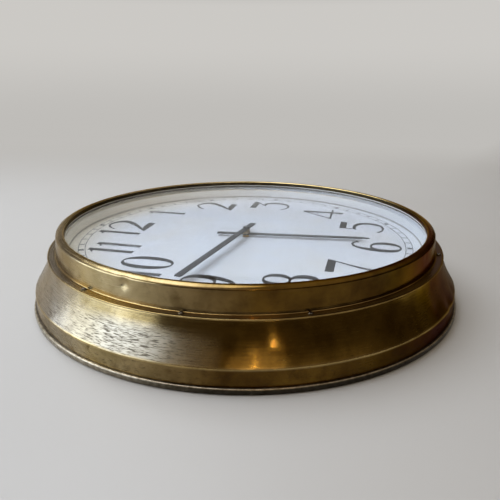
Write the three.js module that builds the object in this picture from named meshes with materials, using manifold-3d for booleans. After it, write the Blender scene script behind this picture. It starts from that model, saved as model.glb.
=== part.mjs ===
import * as THREE from 'three';
import { mergeVertices } from 'three/addons/utils/BufferGeometryUtils.js';
import Module from 'manifold-3d';

// A large wall clock for a workshop: spun brass case and bezel, white dial, battery movement.
// It lies on its back. +Z leaves the dial, +Y points to 12 o'clock, and the origin is the middle
// of the flat steel back. Lengths are in millimetres and angles on the dial run clockwise from 12.

// Fits
const SEAT_GAP = 0.3;
const RUNNING_GAP = 0.4;
const RING_SIDES = 48;
const ROUND_SIDES = 12;
const SMALL_SIDES = 8;
const HOLE_SIDES = 6;
const NUT_SIDES = 6;
const ARC_SEGMENTS = 4;
const WELD = 1e-4;

// Case body and steel back
const OVERALL_RADIUS = 305;
const BEAD_WIDTH = 3.5;
const BEAD_HEIGHT = 7;
const BACK_THICKNESS = 2;
const SHEET = 1.5;
const BAND_HEIGHT = 25.3;
const RIDGE_ROUND = 0.9;
const SKIRT_FLARE = 21.6;
const SKIRT_HOLLOW = 2;
const SKIRT_STEPS = 2;
const FOOT_FLANGE_WIDTH = 18;
const DIAL_LEDGE_WIDTH = 34;
const DIAL_SINK = 1.9;

// Bezel, glass and reflector ring
const BEZEL_FLANGE_WIDTH = 8.6;
const BEZEL_FLANGE_THICKNESS = 2.6;
const BEZEL_FILLET = 1.2;
const BEZEL_LEAN = 2.3;
const RIM_WIDTH = 11.4;
const RIM_ROLL = 4.6;
const RIM_EDGE = 1.2;
const RIM_RISE = 7.8;
const RIM_STEPS = 3;
const GLASS_THICKNESS = 2.8;
const GLASS_LAP = 9;
const SEAL_THICKNESS = 1.5;
const REFLECTOR_SETBACK = 1;
const REFLECTOR_LEAN = 3.6;
const REFLECTOR_WALL = 3.3;
const GLASS_CLEARANCE = 6.2;

// Dial and hands
const DIAL_THICKNESS = 1.2;
const DIAL_EDGE_CLEARANCE = 1.5;
const DIAL_FOOT_LENGTH = 22.5;
const DIAL_FOOT_RADIUS = 3.5;
const DIAL_STUD_RADIUS = 2;
const DIAL_STUD_LENGTH = 10;
const HAND_THICKNESS = 1.2;
const HOUR_HAND_LIFT = 3.4;
const HAND_SPACING = 4.1;
const HOUR_HAND_WIDTH = 7.6;
const HOUR_TIP_MARGIN = 71.5;
const HOUR_POINT_LENGTH = 14;
const HOUR_TAIL = 43.5;
const MINUTE_HAND_WIDTH = 9.2;
const MINUTE_TIP_WIDTH = 7.4;
const MINUTE_POINT_LENGTH = 2;
const MINUTE_TIP_MARGIN = 45.9;
const MINUTE_TAIL = 29.5;
const HUB_WALL = 1.5;
const COLLET_WALL = 1.3;
const HOUR_COLLET_HEIGHT = 2.4;
const NUT_HEIGHT = 2;
const NUT_WALL = 2.2;
const SHOWN_MINUTES = 5 * 60 + 46.4;

// Movement
const MOVEMENT_CLEARANCE = 12;
const PLATE_THICKNESS = 2.5;
const PLATE_MARGIN = 4;
const PLATE_CORNER = 8;
const PILLAR_LENGTH = 27;
const PILLAR_RADIUS = 4.5;
const PILLAR_INSET = 10;
const PILLAR_STUD_RADIUS = 2.5;
const PILLAR_STUD_LENGTH = 4.5;
const PILLAR_NUT_WALL = 2.5;
const PILLAR_NUT_HEIGHT = 3.5;
const ARBOR_RADIUS = 2;
const ARBOR_TAIL = 0.5;
const COLLAR_WALL = 2.5;
const COLLAR_LENGTH = 1.5;
const PIPE_WALL = 1;

// Gears: the two motion work pairs share one centre distance, 3:1 and 4:1 make 12:1
const GEAR_MODULE = 1;
const PRESSURE_ANGLE = THREE.MathUtils.degToRad(20);
const ADDENDUM = 0.75;
const DEDENDUM = 1;
const BACKLASH = 0.25;
const CURVED_FLANK_TEETH = 15;
const CANNON_TEETH = 15;
const MINUTE_WHEEL_TEETH = 45;
const MINUTE_PINION_TEETH = 12;
const HOUR_WHEEL_TEETH = 48;
const CENTRE_WHEEL_TEETH = 48;
const MOTOR_PINION_TEETH = 12;
const WHEEL_THICKNESS = 2.5;
const CANNON_LENGTH = 3.5;
const MINUTE_PINION_LENGTH = 5;
const LAYER_GAP = 0.5;
const WHEEL_ARMS = 4;
const WHEEL_ARM_WIDTH = 4;
const WHEEL_RIM = 3;
const WHEEL_HUB_WALL = 4;
const WINDOW_STEPS = 4;
const STUD_SCREW_RADIUS = 2;
const STUD_HEAD_WALL = 1.6;
const STUD_HEAD_HEIGHT = 2;

// Motor and battery
const MOTOR_RADIUS = 22;
const MOTOR_HEIGHT = 15;
const MOTOR_CHAMFER = 1.5;
const MOTOR_OFFSET = 8;
const MOTOR_BOSS_WALL = 3;
const MOTOR_BOSS_HEIGHT = 1;
const MOTOR_SHAFT_RADIUS = 1.5;
const MOTOR_SHAFT_DEPTH = 5;
const MOTOR_SCREW_SPREAD = 12;
const MOTOR_SCREW_DEPTH = 5;
const TERMINAL_WIDTH = 18;
const TERMINAL_HEIGHT = 13;
const CELL_RADIUS = 7.25;
const CELL_LENGTH = 49.5;
const CELL_NUB_RADIUS = 2.75;
const CELL_NUB_LENGTH = 1;
const TRAY_WALL = 1.5;
const TRAY_PLAY = 0.7;
const TRAY_CLEARANCE = 2;
const CONTACT_THICKNESS = 0.6;
const CONTACT_HEIGHT = 4.5;

// Fasteners and hanger
const BEZEL_SCREW_BEARINGS = [0, 62, 90, 118, 184, 242, 270, 298];
const BACK_SCREWS = 6;
const SCREW_RADIUS = 1.7;
const SCREW_HEAD_WALL = 1.5;
const SCREW_HEAD_HEIGHT = 1.9;
const SCREW_END = 3;
const COUNTERSINK = 0.9;
const HANGER_THICKNESS = 3;
const HANGER_WIDTH = 70;
const HANGER_LENGTH = 60;
const HANGER_CORNER = 6;
const HANGER_INSET = 18;
const KEYHOLE_RADIUS = 8;
const KEYHOLE_SLOT = 8;
const KEYHOLE_TRAVEL = 20;
const KEYHOLE_MARGIN = 4;
const RIVET_RADIUS = 2.5;
const RIVET_INSET = 10;
const RIVET_HEAD_WALL = 1.7;
const RIVET_HEAD_HEIGHT = 1.6;

// Heights, from the floor up
const footZ = BACK_THICKNESS + SEAT_GAP;
const ridgeZ = footZ + BAND_HEIGHT;
const rearPlateZ = BACK_THICKNESS + MOVEMENT_CLEARANCE;
const rearPlateTop = rearPlateZ + PLATE_THICKNESS;
const pillarZ = rearPlateTop + SEAT_GAP;
const frontPlateZ = pillarZ + PILLAR_LENGTH + SEAT_GAP;
const frontPlateTop = frontPlateZ + PLATE_THICKNESS;
const dialFootZ = frontPlateTop + SEAT_GAP;
const dialZ = dialFootZ + DIAL_FOOT_LENGTH;
const dialTop = dialZ + DIAL_THICKNESS;
const ledgeZ = dialZ - SEAT_GAP;
const shoulderZ = ledgeZ + DIAL_SINK;
const hourHandZ = dialTop + HOUR_HAND_LIFT;
const hourHandTop = hourHandZ + HAND_THICKNESS;
const hourColletZ = hourHandTop + SEAT_GAP;
const hourColletTop = hourColletZ + HOUR_COLLET_HEIGHT;
const minuteHandZ = hourColletTop + HAND_SPACING;
const minuteHandTop = minuteHandZ + HAND_THICKNESS;
const nutZ = minuteHandTop + SEAT_GAP;
const glassZ = nutZ + NUT_HEIGHT + GLASS_CLEARANCE;
const glassTop = glassZ + GLASS_THICKNESS;
const lipZ = glassTop + SEAT_GAP;
const rimTop = lipZ + RIM_RISE;
const sealZ = glassZ - SEAT_GAP - SEAL_THICKNESS;
const reflectorZ = dialTop + SEAT_GAP;
const reflectorTop = sealZ - SEAT_GAP;

// Radii, from the outside in
const bandRadius = OVERALL_RADIUS - BEAD_WIDTH - SEAT_GAP;
const shoulderRadius = bandRadius - SKIRT_FLARE;
const footFlangeRadius = bandRadius - FOOT_FLANGE_WIDTH;
const ledgeRadius = shoulderRadius - DIAL_LEDGE_WIDTH;
const bezelFlangeRadius = shoulderRadius - SEAT_GAP;
const bezelFootRadius = bezelFlangeRadius - BEZEL_FLANGE_WIDTH;
const rimRadius = bezelFootRadius - BEZEL_LEAN;
const lipRadius = rimRadius - RIM_WIDTH;
const glassRadius = lipRadius + GLASS_LAP;
const sinkRadius = bezelFootRadius - SHEET;
const dialRadius = sinkRadius - DIAL_EDGE_CLEARANCE;
const reflectorRadius = lipRadius + REFLECTOR_SETBACK;
const sightRadius = reflectorRadius - REFLECTOR_LEAN;
const bezelScrewCircle = bezelFlangeRadius - BEZEL_FLANGE_WIDTH / 2;
const backScrewCircle = bandRadius - SHEET - (FOOT_FLANGE_WIDTH - SHEET) / 2;
const bezelBearings = BEZEL_SCREW_BEARINGS.map((degrees) => THREE.MathUtils.degToRad(degrees));
const backBearings = Array.from({ length: BACK_SCREWS }, (_, i) => 2 * Math.PI * i / BACK_SCREWS);

// Movement layout: motor to the left of the centre, minute wheel to the right, battery below
const trainCentres = GEAR_MODULE * (CANNON_TEETH + MINUTE_WHEEL_TEETH) / 2;
const motorCentres = GEAR_MODULE * (CENTRE_WHEEL_TEETH + MOTOR_PINION_TEETH) / 2;
const motorX = -motorCentres - MOTOR_OFFSET;
const centreWheelTip = GEAR_MODULE * (CENTRE_WHEEL_TEETH / 2 + ADDENDUM);
const trayHalfWidth = CELL_RADIUS + TRAY_PLAY + TRAY_WALL;
const trayY = -centreWheelTip - TRAY_CLEARANCE - trayHalfWidth;
const plateHalfWidth = -motorX + MOTOR_RADIUS + PLATE_MARGIN;
const plateHalfHeight = -trayY + trayHalfWidth + PLATE_MARGIN;
const pillarX = plateHalfWidth - PILLAR_INSET;
const pillarY = plateHalfHeight - PILLAR_INSET;
const cellEnd = CELL_LENGTH / 2 + CELL_NUB_LENGTH;
const cellZ = pillarZ + TRAY_PLAY + CELL_RADIUS;
const trayTop = cellZ + CELL_RADIUS + TRAY_PLAY + TRAY_WALL;
const pocketHalfLength = cellEnd + SEAT_GAP + CONTACT_THICKNESS + TRAY_PLAY;
const motorTop = pillarZ + MOTOR_HEIGHT;
const centreWheelZ = motorTop + MOTOR_BOSS_HEIGHT + 2 * LAYER_GAP;
const cannonZ = frontPlateTop + LAYER_GAP;
const cannonTop = cannonZ + CANNON_LENGTH;
const hourWheelZ = cannonTop + 2 * LAYER_GAP;
const minutePinionZ = cannonZ + WHEEL_THICKNESS + SEAT_GAP;
const minutePinionTop = minutePinionZ + MINUTE_PINION_LENGTH;
const cannonBore = ARBOR_RADIUS + SEAT_GAP;
const cannonPipe = cannonBore + PIPE_WALL;
const hourBore = cannonPipe + RUNNING_GAP;
const hourPipe = hourBore + PIPE_WALL;
const terminalY = trayY + trayHalfWidth + TRAY_CLEARANCE;

const wasm = await Module();
wasm.setup();
const clock = new THREE.Group();

// Solids

function solid(geometry) {
  geometry.deleteAttribute('normal');
  geometry.deleteAttribute('uv');
  const merged = mergeVertices(geometry, WELD);
  const corners = merged.index.array;
  const triangles = [];
  for (let i = 0; i < corners.length; i += 3) {
    const [a, b, c] = corners.slice(i, i + 3);
    if (a !== b && b !== c && c !== a) triangles.push(a, b, c);
  }
  const vertProperties = Float32Array.from(merged.attributes.position.array);
  const triVerts = Uint32Array.from(triangles);
  return new wasm.Manifold(new wasm.Mesh({ numProp: 3, vertProperties, triVerts }));
}

// A body of revolution about Z. The profile is a list of [radius, z] with the material on its left;
// one that stays off the axis closes on itself.
function revolve(profile, sides = ROUND_SIDES) {
  const points = profile.map(([radius, z]) => new THREE.Vector2(radius, z));
  if (profile[0][0] > 0) points.push(points[0].clone());
  const geometry = new THREE.LatheGeometry(points, sides);
  geometry.rotateX(Math.PI / 2);
  return solid(geometry);
}

function cylinder(radius, z, top, sides = ROUND_SIDES) {
  return revolve([[0, z], [radius, z], [radius, top], [0, top]], sides);
}

// A through hole for a screw: its flats keep the full radius.
function drill(radius, z, top) {
  return cylinder(radius / Math.cos(Math.PI / HOLE_SIDES), z, top, HOLE_SIDES);
}

function tube(bore, radius, z, top, sides = ROUND_SIDES) {
  return revolve([[bore, z], [radius, z], [radius, top], [bore, top]], sides);
}

function extrude(shape, z, top) {
  const options = { depth: top - z, bevelEnabled: false, curveSegments: ARC_SEGMENTS };
  const geometry = new THREE.ExtrudeGeometry(shape, options);
  geometry.translate(0, 0, z);
  return solid(geometry);
}

function box(x, y, z, width, depth, height) {
  const geometry = new THREE.BoxGeometry(width, depth, height);
  geometry.translate(x, y, z + height / 2);
  return solid(geometry);
}

// A round hole in a flat shape: its flats keep the full radius.
function circlePath(x, y, radius) {
  const path = new THREE.Path();
  path.absarc(x, y, radius / Math.cos(Math.PI / (2 * ARC_SEGMENTS)), 0, 2 * Math.PI, true);
  return path;
}

function roundedRectangle(halfWidth, halfHeight, corner) {
  const shape = new THREE.Shape();
  shape.absarc(halfWidth - corner, halfHeight - corner, corner, 0, Math.PI / 2);
  shape.absarc(corner - halfWidth, halfHeight - corner, corner, Math.PI / 2, Math.PI);
  shape.absarc(corner - halfWidth, corner - halfHeight, corner, Math.PI, 1.5 * Math.PI);
  shape.absarc(halfWidth - corner, corner - halfHeight, corner, 1.5 * Math.PI, 2 * Math.PI);
  return shape;
}

// A six-sided nut: the wall is measured from the bore to the corners.
function hexNut(bore, wall, z, height) {
  const shape = new THREE.Shape();
  for (let corner = 0; corner < NUT_SIDES; corner += 1) {
    const angle = 2 * Math.PI * corner / NUT_SIDES;
    const point = [(bore + wall) * Math.cos(angle), (bore + wall) * Math.sin(angle)];
    if (corner === 0) shape.moveTo(...point);
    else shape.lineTo(...point);
  }
  shape.holes.push(circlePath(0, 0, bore));
  return extrude(shape, z, z + height);
}

function onCircle(radius, bearing) {
  return [radius * Math.sin(bearing), radius * Math.cos(bearing), 0];
}

function punchCircle(body, hole, radius, bearings) {
  return bearings.reduce((rest, bearing) => rest.subtract(hole.translate(onCircle(radius, bearing))), body);
}

function add(name, body, look, position = [0, 0, 0], turn = 0) {
  const { vertProperties, triVerts } = body.getMesh();
  const geometry = new THREE.BufferGeometry();
  geometry.setAttribute('position', new THREE.BufferAttribute(vertProperties, 3));
  geometry.setIndex(new THREE.BufferAttribute(triVerts, 1));
  const mesh = new THREE.Mesh(geometry, new THREE.MeshStandardMaterial(look));
  mesh.name = name;
  mesh.position.set(...position);
  mesh.rotation.z = turn;
  clock.add(mesh);
}

// Looks
const agedBrass = { color: 0x8a6a34, roughness: 0.36, metalness: 1 };
const plateBrass = { color: 0xb08d4a, roughness: 0.45, metalness: 1 };
const greySteel = { color: 0x77716a, roughness: 0.5, metalness: 1 };
const brightSteel = { color: 0xa9a9a6, roughness: 0.35, metalness: 1 };
const darkScrew = { color: 0x3a3126, roughness: 0.5, metalness: 1 };
const whitePaint = { color: 0xe6e8ea, roughness: 0.5, metalness: 0 };
const handPaint = { color: 0x3b4044, roughness: 0.55, metalness: 0 };
const clearGlass = { color: 0xe9f2f2, roughness: 0.03, metalness: 0 };
const blackRubber = { color: 0x1d1d1d, roughness: 0.85, metalness: 0 };
const blackPlastic = { color: 0x232323, roughness: 0.6, metalness: 0 };
const cellJacket = { color: 0x4c5f57, roughness: 0.4, metalness: 0 };
const zincCan = { color: 0x9b9d9c, roughness: 0.42, metalness: 1 };

// Case

function skirtPoint(share, inset) {
  const hollow = SKIRT_HOLLOW * 4 * share * (1 - share);
  const lower = ridgeZ + RIDGE_ROUND;
  const upper = shoulderZ - RIDGE_ROUND;
  return [bandRadius - RIDGE_ROUND - (SKIRT_FLARE - RIDGE_ROUND) * share - hollow - inset,
    lower + (upper - lower) * share];
}

function caseBody() {
  const outside = [[bandRadius, footZ], [bandRadius, ridgeZ - RIDGE_ROUND]];
  const inside = [[bandRadius - SHEET, footZ + SHEET], [bandRadius - SHEET, ridgeZ - RIDGE_ROUND]];
  for (let i = 0; i <= SKIRT_STEPS; i += 1) {
    outside.push(skirtPoint(i / SKIRT_STEPS, 0));
    if (i < SKIRT_STEPS) inside.push(skirtPoint(i / SKIRT_STEPS, SHEET));
  }
  const ledge = [
    [shoulderRadius - RIDGE_ROUND, shoulderZ],
    [sinkRadius, shoulderZ],
    [sinkRadius, ledgeZ],
    [ledgeRadius, ledgeZ],
    [ledgeRadius, ledgeZ - SHEET],
    [sinkRadius + SHEET, ledgeZ - SHEET],
    [sinkRadius + SHEET, shoulderZ - SHEET],
    [shoulderRadius - SHEET, shoulderZ - SHEET],
  ];
  const profile = [
    [footFlangeRadius, footZ],
    ...outside,
    ...ledge,
    ...inside.reverse(),
    [footFlangeRadius, footZ + SHEET],
  ];
  const hole = SCREW_RADIUS + SEAT_GAP;
  const bezelDrill = drill(hole, shoulderZ - 2 * SHEET, shoulderZ + SHEET);
  const backDrill = drill(hole, 0, footZ + 2 * SHEET);
  const shell = punchCircle(revolve(profile, RING_SIDES), bezelDrill, bezelScrewCircle, bezelBearings);
  return punchCircle(shell, backDrill, backScrewCircle, backBearings);
}

const hangerY = footFlangeRadius - HANGER_INSET - HANGER_LENGTH / 2;
const rivetX = HANGER_WIDTH / 2 - RIVET_INSET;

function keyhole(round, slot, travel) {
  const path = new THREE.Path();
  const meet = Math.asin(slot / 2 / round);
  path.absarc(0, -travel / 2, round, Math.PI / 2 + meet, 2.5 * Math.PI - meet);
  path.absarc(0, travel / 2, slot / 2, 0, Math.PI);
  return path;
}

function backPlate() {
  const seat = bandRadius + SEAT_GAP;
  const plate = revolve([
    [0, 0],
    [OVERALL_RADIUS - BEAD_WIDTH / 2, 0],
    [OVERALL_RADIUS, BEAD_HEIGHT / 4],
    [OVERALL_RADIUS, BEAD_HEIGHT * 3 / 4],
    [OVERALL_RADIUS - BEAD_WIDTH / 2, BEAD_HEIGHT],
    [seat, BEAD_HEIGHT - SEAT_GAP],
    [seat, BACK_THICKNESS],
    [0, BACK_THICKNESS],
  ], RING_SIDES);
  const head = SCREW_RADIUS + SCREW_HEAD_WALL + SEAT_GAP;
  const sink = revolve([
    [0, -SEAT_GAP],
    [head, -SEAT_GAP],
    [head, COUNTERSINK],
    [SCREW_RADIUS + SEAT_GAP, COUNTERSINK + SEAT_GAP],
    [SCREW_RADIUS + SEAT_GAP, 2 * BACK_THICKNESS],
    [0, 2 * BACK_THICKNESS],
  ], SMALL_SIDES);
  const grown = keyhole(KEYHOLE_RADIUS + KEYHOLE_MARGIN, KEYHOLE_SLOT + 2 * KEYHOLE_MARGIN, KEYHOLE_TRAVEL);
  const mouth = extrude(new THREE.Shape(grown.getPoints(SMALL_SIDES)), -BACK_THICKNESS, 2 * BACK_THICKNESS);
  const rivetHole = drill(RIVET_RADIUS + SEAT_GAP, -BACK_THICKNESS, 2 * BACK_THICKNESS);
  let result = punchCircle(plate, sink, backScrewCircle, backBearings);
  result = result.subtract(mouth.translate([0, hangerY, 0]));
  for (const side of [-1, 1]) {
    result = result.subtract(rivetHole.translate([side * rivetX, hangerY, 0]));
  }
  return result;
}

function hangerPlate() {
  const shape = roundedRectangle(HANGER_WIDTH / 2, HANGER_LENGTH / 2, HANGER_CORNER);
  shape.holes.push(keyhole(KEYHOLE_RADIUS, KEYHOLE_SLOT, KEYHOLE_TRAVEL));
  for (const side of [-1, 1]) {
    shape.holes.push(circlePath(side * rivetX, 0, RIVET_RADIUS + SEAT_GAP));
  }
  return extrude(shape, footZ, footZ + HANGER_THICKNESS);
}

// A rivet with its flush end in the back plate and its round head inside the case.
function hangerRivet() {
  const head = RIVET_RADIUS + RIVET_HEAD_WALL;
  const seat = footZ + HANGER_THICKNESS + SEAT_GAP;
  return revolve([
    [0, SEAT_GAP],
    [RIVET_RADIUS, SEAT_GAP],
    [RIVET_RADIUS, seat],
    [head, seat],
    [head * 0.75, seat + RIVET_HEAD_HEIGHT * 0.75],
    [0, seat + RIVET_HEAD_HEIGHT],
  ], SMALL_SIDES);
}

function backScrew() {
  const head = SCREW_RADIUS + SCREW_HEAD_WALL;
  return revolve([
    [0, SEAT_GAP],
    [head, SEAT_GAP],
    [head, COUNTERSINK - SEAT_GAP],
    [SCREW_RADIUS, COUNTERSINK],
    [SCREW_RADIUS, footZ + SHEET + SCREW_END],
    [0, footZ + SHEET + SCREW_END],
  ], SMALL_SIDES);
}

add('back_plate', backPlate(), greySteel);
add('case_body', caseBody(), agedBrass);
add('hanger_plate', hangerPlate(), brightSteel, [0, hangerY, 0]);
[-1, 1].forEach((side, i) => {
  add(`hanger_rivet_${i + 1}`, hangerRivet(), brightSteel, [side * rivetX, hangerY, 0]);
});
backBearings.forEach((bearing, i) => {
  add(`back_screw_${i + 1}`, backScrew(), brightSteel, onCircle(backScrewCircle, bearing));
});

// Bezel and glazing

function bezel() {
  const flangeZ = shoulderZ + SEAT_GAP;
  const flangeTop = flangeZ + BEZEL_FLANGE_THICKNESS;
  const rollZ = rimTop - RIM_ROLL;
  const rim = [];
  for (let i = 0; i <= RIM_STEPS; i += 1) {
    const angle = Math.PI / 2 * i / RIM_STEPS;
    const across = (RIM_WIDTH - RIM_EDGE) * Math.cos(angle);
    rim.push([lipRadius + RIM_EDGE + across, rollZ + RIM_ROLL * Math.sin(angle)]);
  }
  const lean = BEZEL_LEAN / (rollZ - flangeTop);
  const ring = revolve([
    [bezelFlangeRadius, flangeZ],
    [bezelFlangeRadius, flangeTop - BEZEL_FILLET / 2],
    [bezelFlangeRadius - BEZEL_FILLET / 2, flangeTop],
    [bezelFootRadius + BEZEL_FILLET, flangeTop],
    [bezelFootRadius - lean * BEZEL_FILLET, flangeTop + BEZEL_FILLET],
    ...rim,
    [lipRadius, rimTop - RIM_EDGE],
    [lipRadius, lipZ],
    [lipRadius + SHEET, lipZ],
    [lipRadius + SHEET, rimTop - RIM_EDGE - SHEET],
    [rimRadius - SHEET, rollZ],
    [bezelFootRadius - SHEET, flangeTop],
    [bezelFootRadius - SHEET, flangeZ],
  ], RING_SIDES);
  const hole = drill(SCREW_RADIUS + SEAT_GAP, flangeZ - SHEET, flangeTop + SHEET);
  return punchCircle(ring, hole, bezelScrewCircle, bezelBearings);
}

// A screw with a round head, from the bezel flange down through the shoulder of the case.
function bezelScrew() {
  const head = SCREW_RADIUS + SCREW_HEAD_WALL;
  const seat = shoulderZ + BEZEL_FLANGE_THICKNESS + 2 * SEAT_GAP;
  const end = shoulderZ - SHEET - SCREW_END;
  return revolve([
    [0, end],
    [SCREW_RADIUS, end],
    [SCREW_RADIUS, seat],
    [head, seat],
    [head * 0.8, seat + SCREW_HEAD_HEIGHT * 0.7],
    [0, seat + SCREW_HEAD_HEIGHT],
  ], SMALL_SIDES);
}

// A leaning ring that stands on the dial and carries the glass.
function reflectorRing() {
  return revolve([
    [sightRadius, reflectorZ],
    [sightRadius + REFLECTOR_WALL, reflectorZ],
    [reflectorRadius + REFLECTOR_WALL, reflectorTop],
    [reflectorRadius, reflectorTop],
  ], RING_SIDES);
}

add('bezel', bezel(), agedBrass);
bezelBearings.forEach((bearing, i) => {
  add(`bezel_screw_${i + 1}`, bezelScrew(), darkScrew, onCircle(bezelScrewCircle, bearing));
});
add('glass', cylinder(glassRadius, glassZ, glassTop, RING_SIDES), clearGlass);
add('glass_seal', tube(reflectorRadius + SEAT_GAP, glassRadius, sealZ, sealZ + SEAL_THICKNESS, RING_SIDES),
  blackRubber);
add('reflector_ring', reflectorRing(), whitePaint);

// Dial with its four soldered feet, whose studs screw into the pillars

const corners = [[1, 1], [-1, 1], [-1, -1], [1, -1]];

function dialPlate() {
  const foot = revolve([
    [0, dialFootZ - DIAL_STUD_LENGTH],
    [DIAL_STUD_RADIUS, dialFootZ - DIAL_STUD_LENGTH],
    [DIAL_STUD_RADIUS, dialFootZ],
    [DIAL_FOOT_RADIUS, dialFootZ],
    [DIAL_FOOT_RADIUS, dialZ + DIAL_THICKNESS / 2],
    [0, dialZ + DIAL_THICKNESS / 2],
  ], SMALL_SIDES);
  const plate = tube(hourPipe + SHEET, dialRadius, dialZ, dialTop, RING_SIDES);
  return corners.reduce((body, [x, y]) => body.add(foot.translate([x * pillarX, y * pillarY, 0])), plate);
}

add('dial_plate', dialPlate(), whitePaint);

// Hands

const minuteTurn = -2 * Math.PI * (SHOWN_MINUTES % 60) / 60;
const hourTurn = -2 * Math.PI * SHOWN_MINUTES / 720;

// A bar along +Y with a round hub. The sides run to the shoulders, then to a tip of its own width.
function hand(bore, z, hub, width, tail, reach, point, tipWidth) {
  const half = width / 2;
  const meet = Math.acos(half / hub);
  const shape = new THREE.Shape();
  shape.moveTo(-half, -tail);
  shape.lineTo(half, -tail);
  shape.absarc(0, 0, hub, -meet, meet);
  shape.lineTo(half, reach - point);
  shape.lineTo(tipWidth / 2, reach);
  if (tipWidth > 0) shape.lineTo(-tipWidth / 2, reach);
  shape.lineTo(-half, reach - point);
  shape.absarc(0, 0, hub, Math.PI - meet, Math.PI + meet);
  shape.holes.push(circlePath(0, 0, bore));
  return extrude(shape, z, z + HAND_THICKNESS);
}

const hourHub = hourPipe + SEAT_GAP + HUB_WALL;
const minuteHub = cannonPipe + SEAT_GAP + HUB_WALL;
const colletRadius = hourPipe + SEAT_GAP + COLLET_WALL;
const hourReach = sightRadius - HOUR_TIP_MARGIN;
const minuteReach = sightRadius - MINUTE_TIP_MARGIN;

add('hour_collet', tube(hourPipe + SEAT_GAP, colletRadius, hourColletZ, hourColletTop), plateBrass);
add('hour_hand', hand(hourPipe + SEAT_GAP, hourHandZ, hourHub, HOUR_HAND_WIDTH, HOUR_TAIL, hourReach,
  HOUR_POINT_LENGTH, 0), handPaint, [0, 0, 0], hourTurn);
add('minute_collet', tube(cannonPipe + SEAT_GAP, colletRadius, hourColletTop + RUNNING_GAP,
  minuteHandZ - SEAT_GAP), plateBrass);
add('minute_hand', hand(cannonPipe + SEAT_GAP, minuteHandZ, minuteHub, MINUTE_HAND_WIDTH, MINUTE_TAIL,
  minuteReach, MINUTE_POINT_LENGTH, MINUTE_TIP_WIDTH), handPaint, [0, 0, 0], minuteTurn);
add('hand_nut', hexNut(ARBOR_RADIUS + SEAT_GAP, NUT_WALL, nutZ, NUT_HEIGHT), brightSteel, [0, 0, 0], minuteTurn);

// Gears with involute flanks

function involute(angle) {
  return Math.tan(angle) - angle;
}

// Half the angle that a tooth takes up at a radius, thinned by the backlash.
function toothHalfAngle(teeth, radius) {
  const pitch = GEAR_MODULE * teeth / 2;
  const base = pitch * Math.cos(PRESSURE_ANGLE);
  const here = Math.acos(Math.min(1, base / radius));
  const atPitch = Math.PI / (2 * teeth) - BACKLASH / (2 * pitch);
  return atPitch + involute(PRESSURE_ANGLE) - involute(here);
}

// Pinions have a bend in each flank at the pitch circle; a wheel's flanks are nearly straight.
function gearShape(teeth) {
  const pitch = GEAR_MODULE * teeth / 2;
  const root = pitch - DEDENDUM * GEAR_MODULE;
  const tip = pitch + ADDENDUM * GEAR_MODULE;
  const radii = teeth > CURVED_FLANK_TEETH ? [root, tip] : [root, pitch, tip];
  const flank = radii.map((radius) => [radius, toothHalfAngle(teeth, radius)]);
  const points = [];
  for (let tooth = 0; tooth < teeth; tooth += 1) {
    const middle = 2 * Math.PI * tooth / teeth;
    const rising = flank.map(([radius, half]) => [radius, middle - half]);
    const falling = flank.map(([radius, half]) => [radius, middle + half]).reverse();
    for (const [radius, angle] of [...rising, ...falling]) {
      points.push(new THREE.Vector2(radius * Math.cos(angle), radius * Math.sin(angle)));
    }
  }
  return new THREE.Shape(points);
}

// The turn that puts a gear at a bearing from its partner's centre in mesh with that partner.
function meshTurn(partnerTeeth, teeth, bearing) {
  const toothOnLine = bearing * partnerTeeth / (2 * Math.PI);
  return bearing + Math.PI - (0.5 - toothOnLine) * 2 * Math.PI / teeth;
}

// Points along an arc about the wheel's axis that stays half an arm's width off both arms.
function arcBetweenArms(radius, from, to, steps) {
  const edge = Math.asin(WHEEL_ARM_WIDTH / 2 / radius);
  const points = [];
  for (let i = 0; i <= steps; i += 1) {
    const angle = THREE.MathUtils.lerp(from + edge, to - edge, i / steps);
    points.push(new THREE.Vector2(radius * Math.cos(angle), radius * Math.sin(angle)));
  }
  return points;
}

function armWindow(inner, outer, from, to) {
  const outside = arcBetweenArms(outer, from, to, WINDOW_STEPS);
  const inside = arcBetweenArms(inner, from, to, WINDOW_STEPS / 2);
  return new THREE.Path([...outside, ...inside.reverse()]);
}

// A wheel blank, crossed out to leave its rim, arms and hub.
function wheel(teeth, bore, z) {
  const shape = gearShape(teeth);
  const rim = GEAR_MODULE * (teeth / 2 - DEDENDUM) - WHEEL_RIM;
  for (let arm = 0; arm < WHEEL_ARMS; arm += 1) {
    const step = 2 * Math.PI / WHEEL_ARMS;
    shape.holes.push(armWindow(bore + WHEEL_HUB_WALL, rim, arm * step, (arm + 1) * step));
  }
  shape.holes.push(circlePath(0, 0, bore));
  return extrude(shape, z, z + WHEEL_THICKNESS);
}

function pinion(teeth, bore, z, length) {
  const shape = gearShape(teeth);
  if (bore > 0) shape.holes.push(circlePath(0, 0, bore));
  return extrude(shape, z, z + length);
}

function cannonPinion() {
  const pipe = tube(cannonBore, cannonPipe, cannonTop - SHEET, minuteHandTop);
  const teeth = pinion(CANNON_TEETH, cannonBore + PIPE_WALL / 4, cannonZ, CANNON_LENGTH);
  return teeth.add(tube(cannonBore, cannonPipe, cannonZ, cannonTop)).add(pipe);
}

function hourWheel() {
  const rim = wheel(HOUR_WHEEL_TEETH, hourBore + PIPE_WALL / 4, hourWheelZ);
  return rim.add(tube(hourBore, hourPipe, hourWheelZ, hourColletTop));
}

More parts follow.
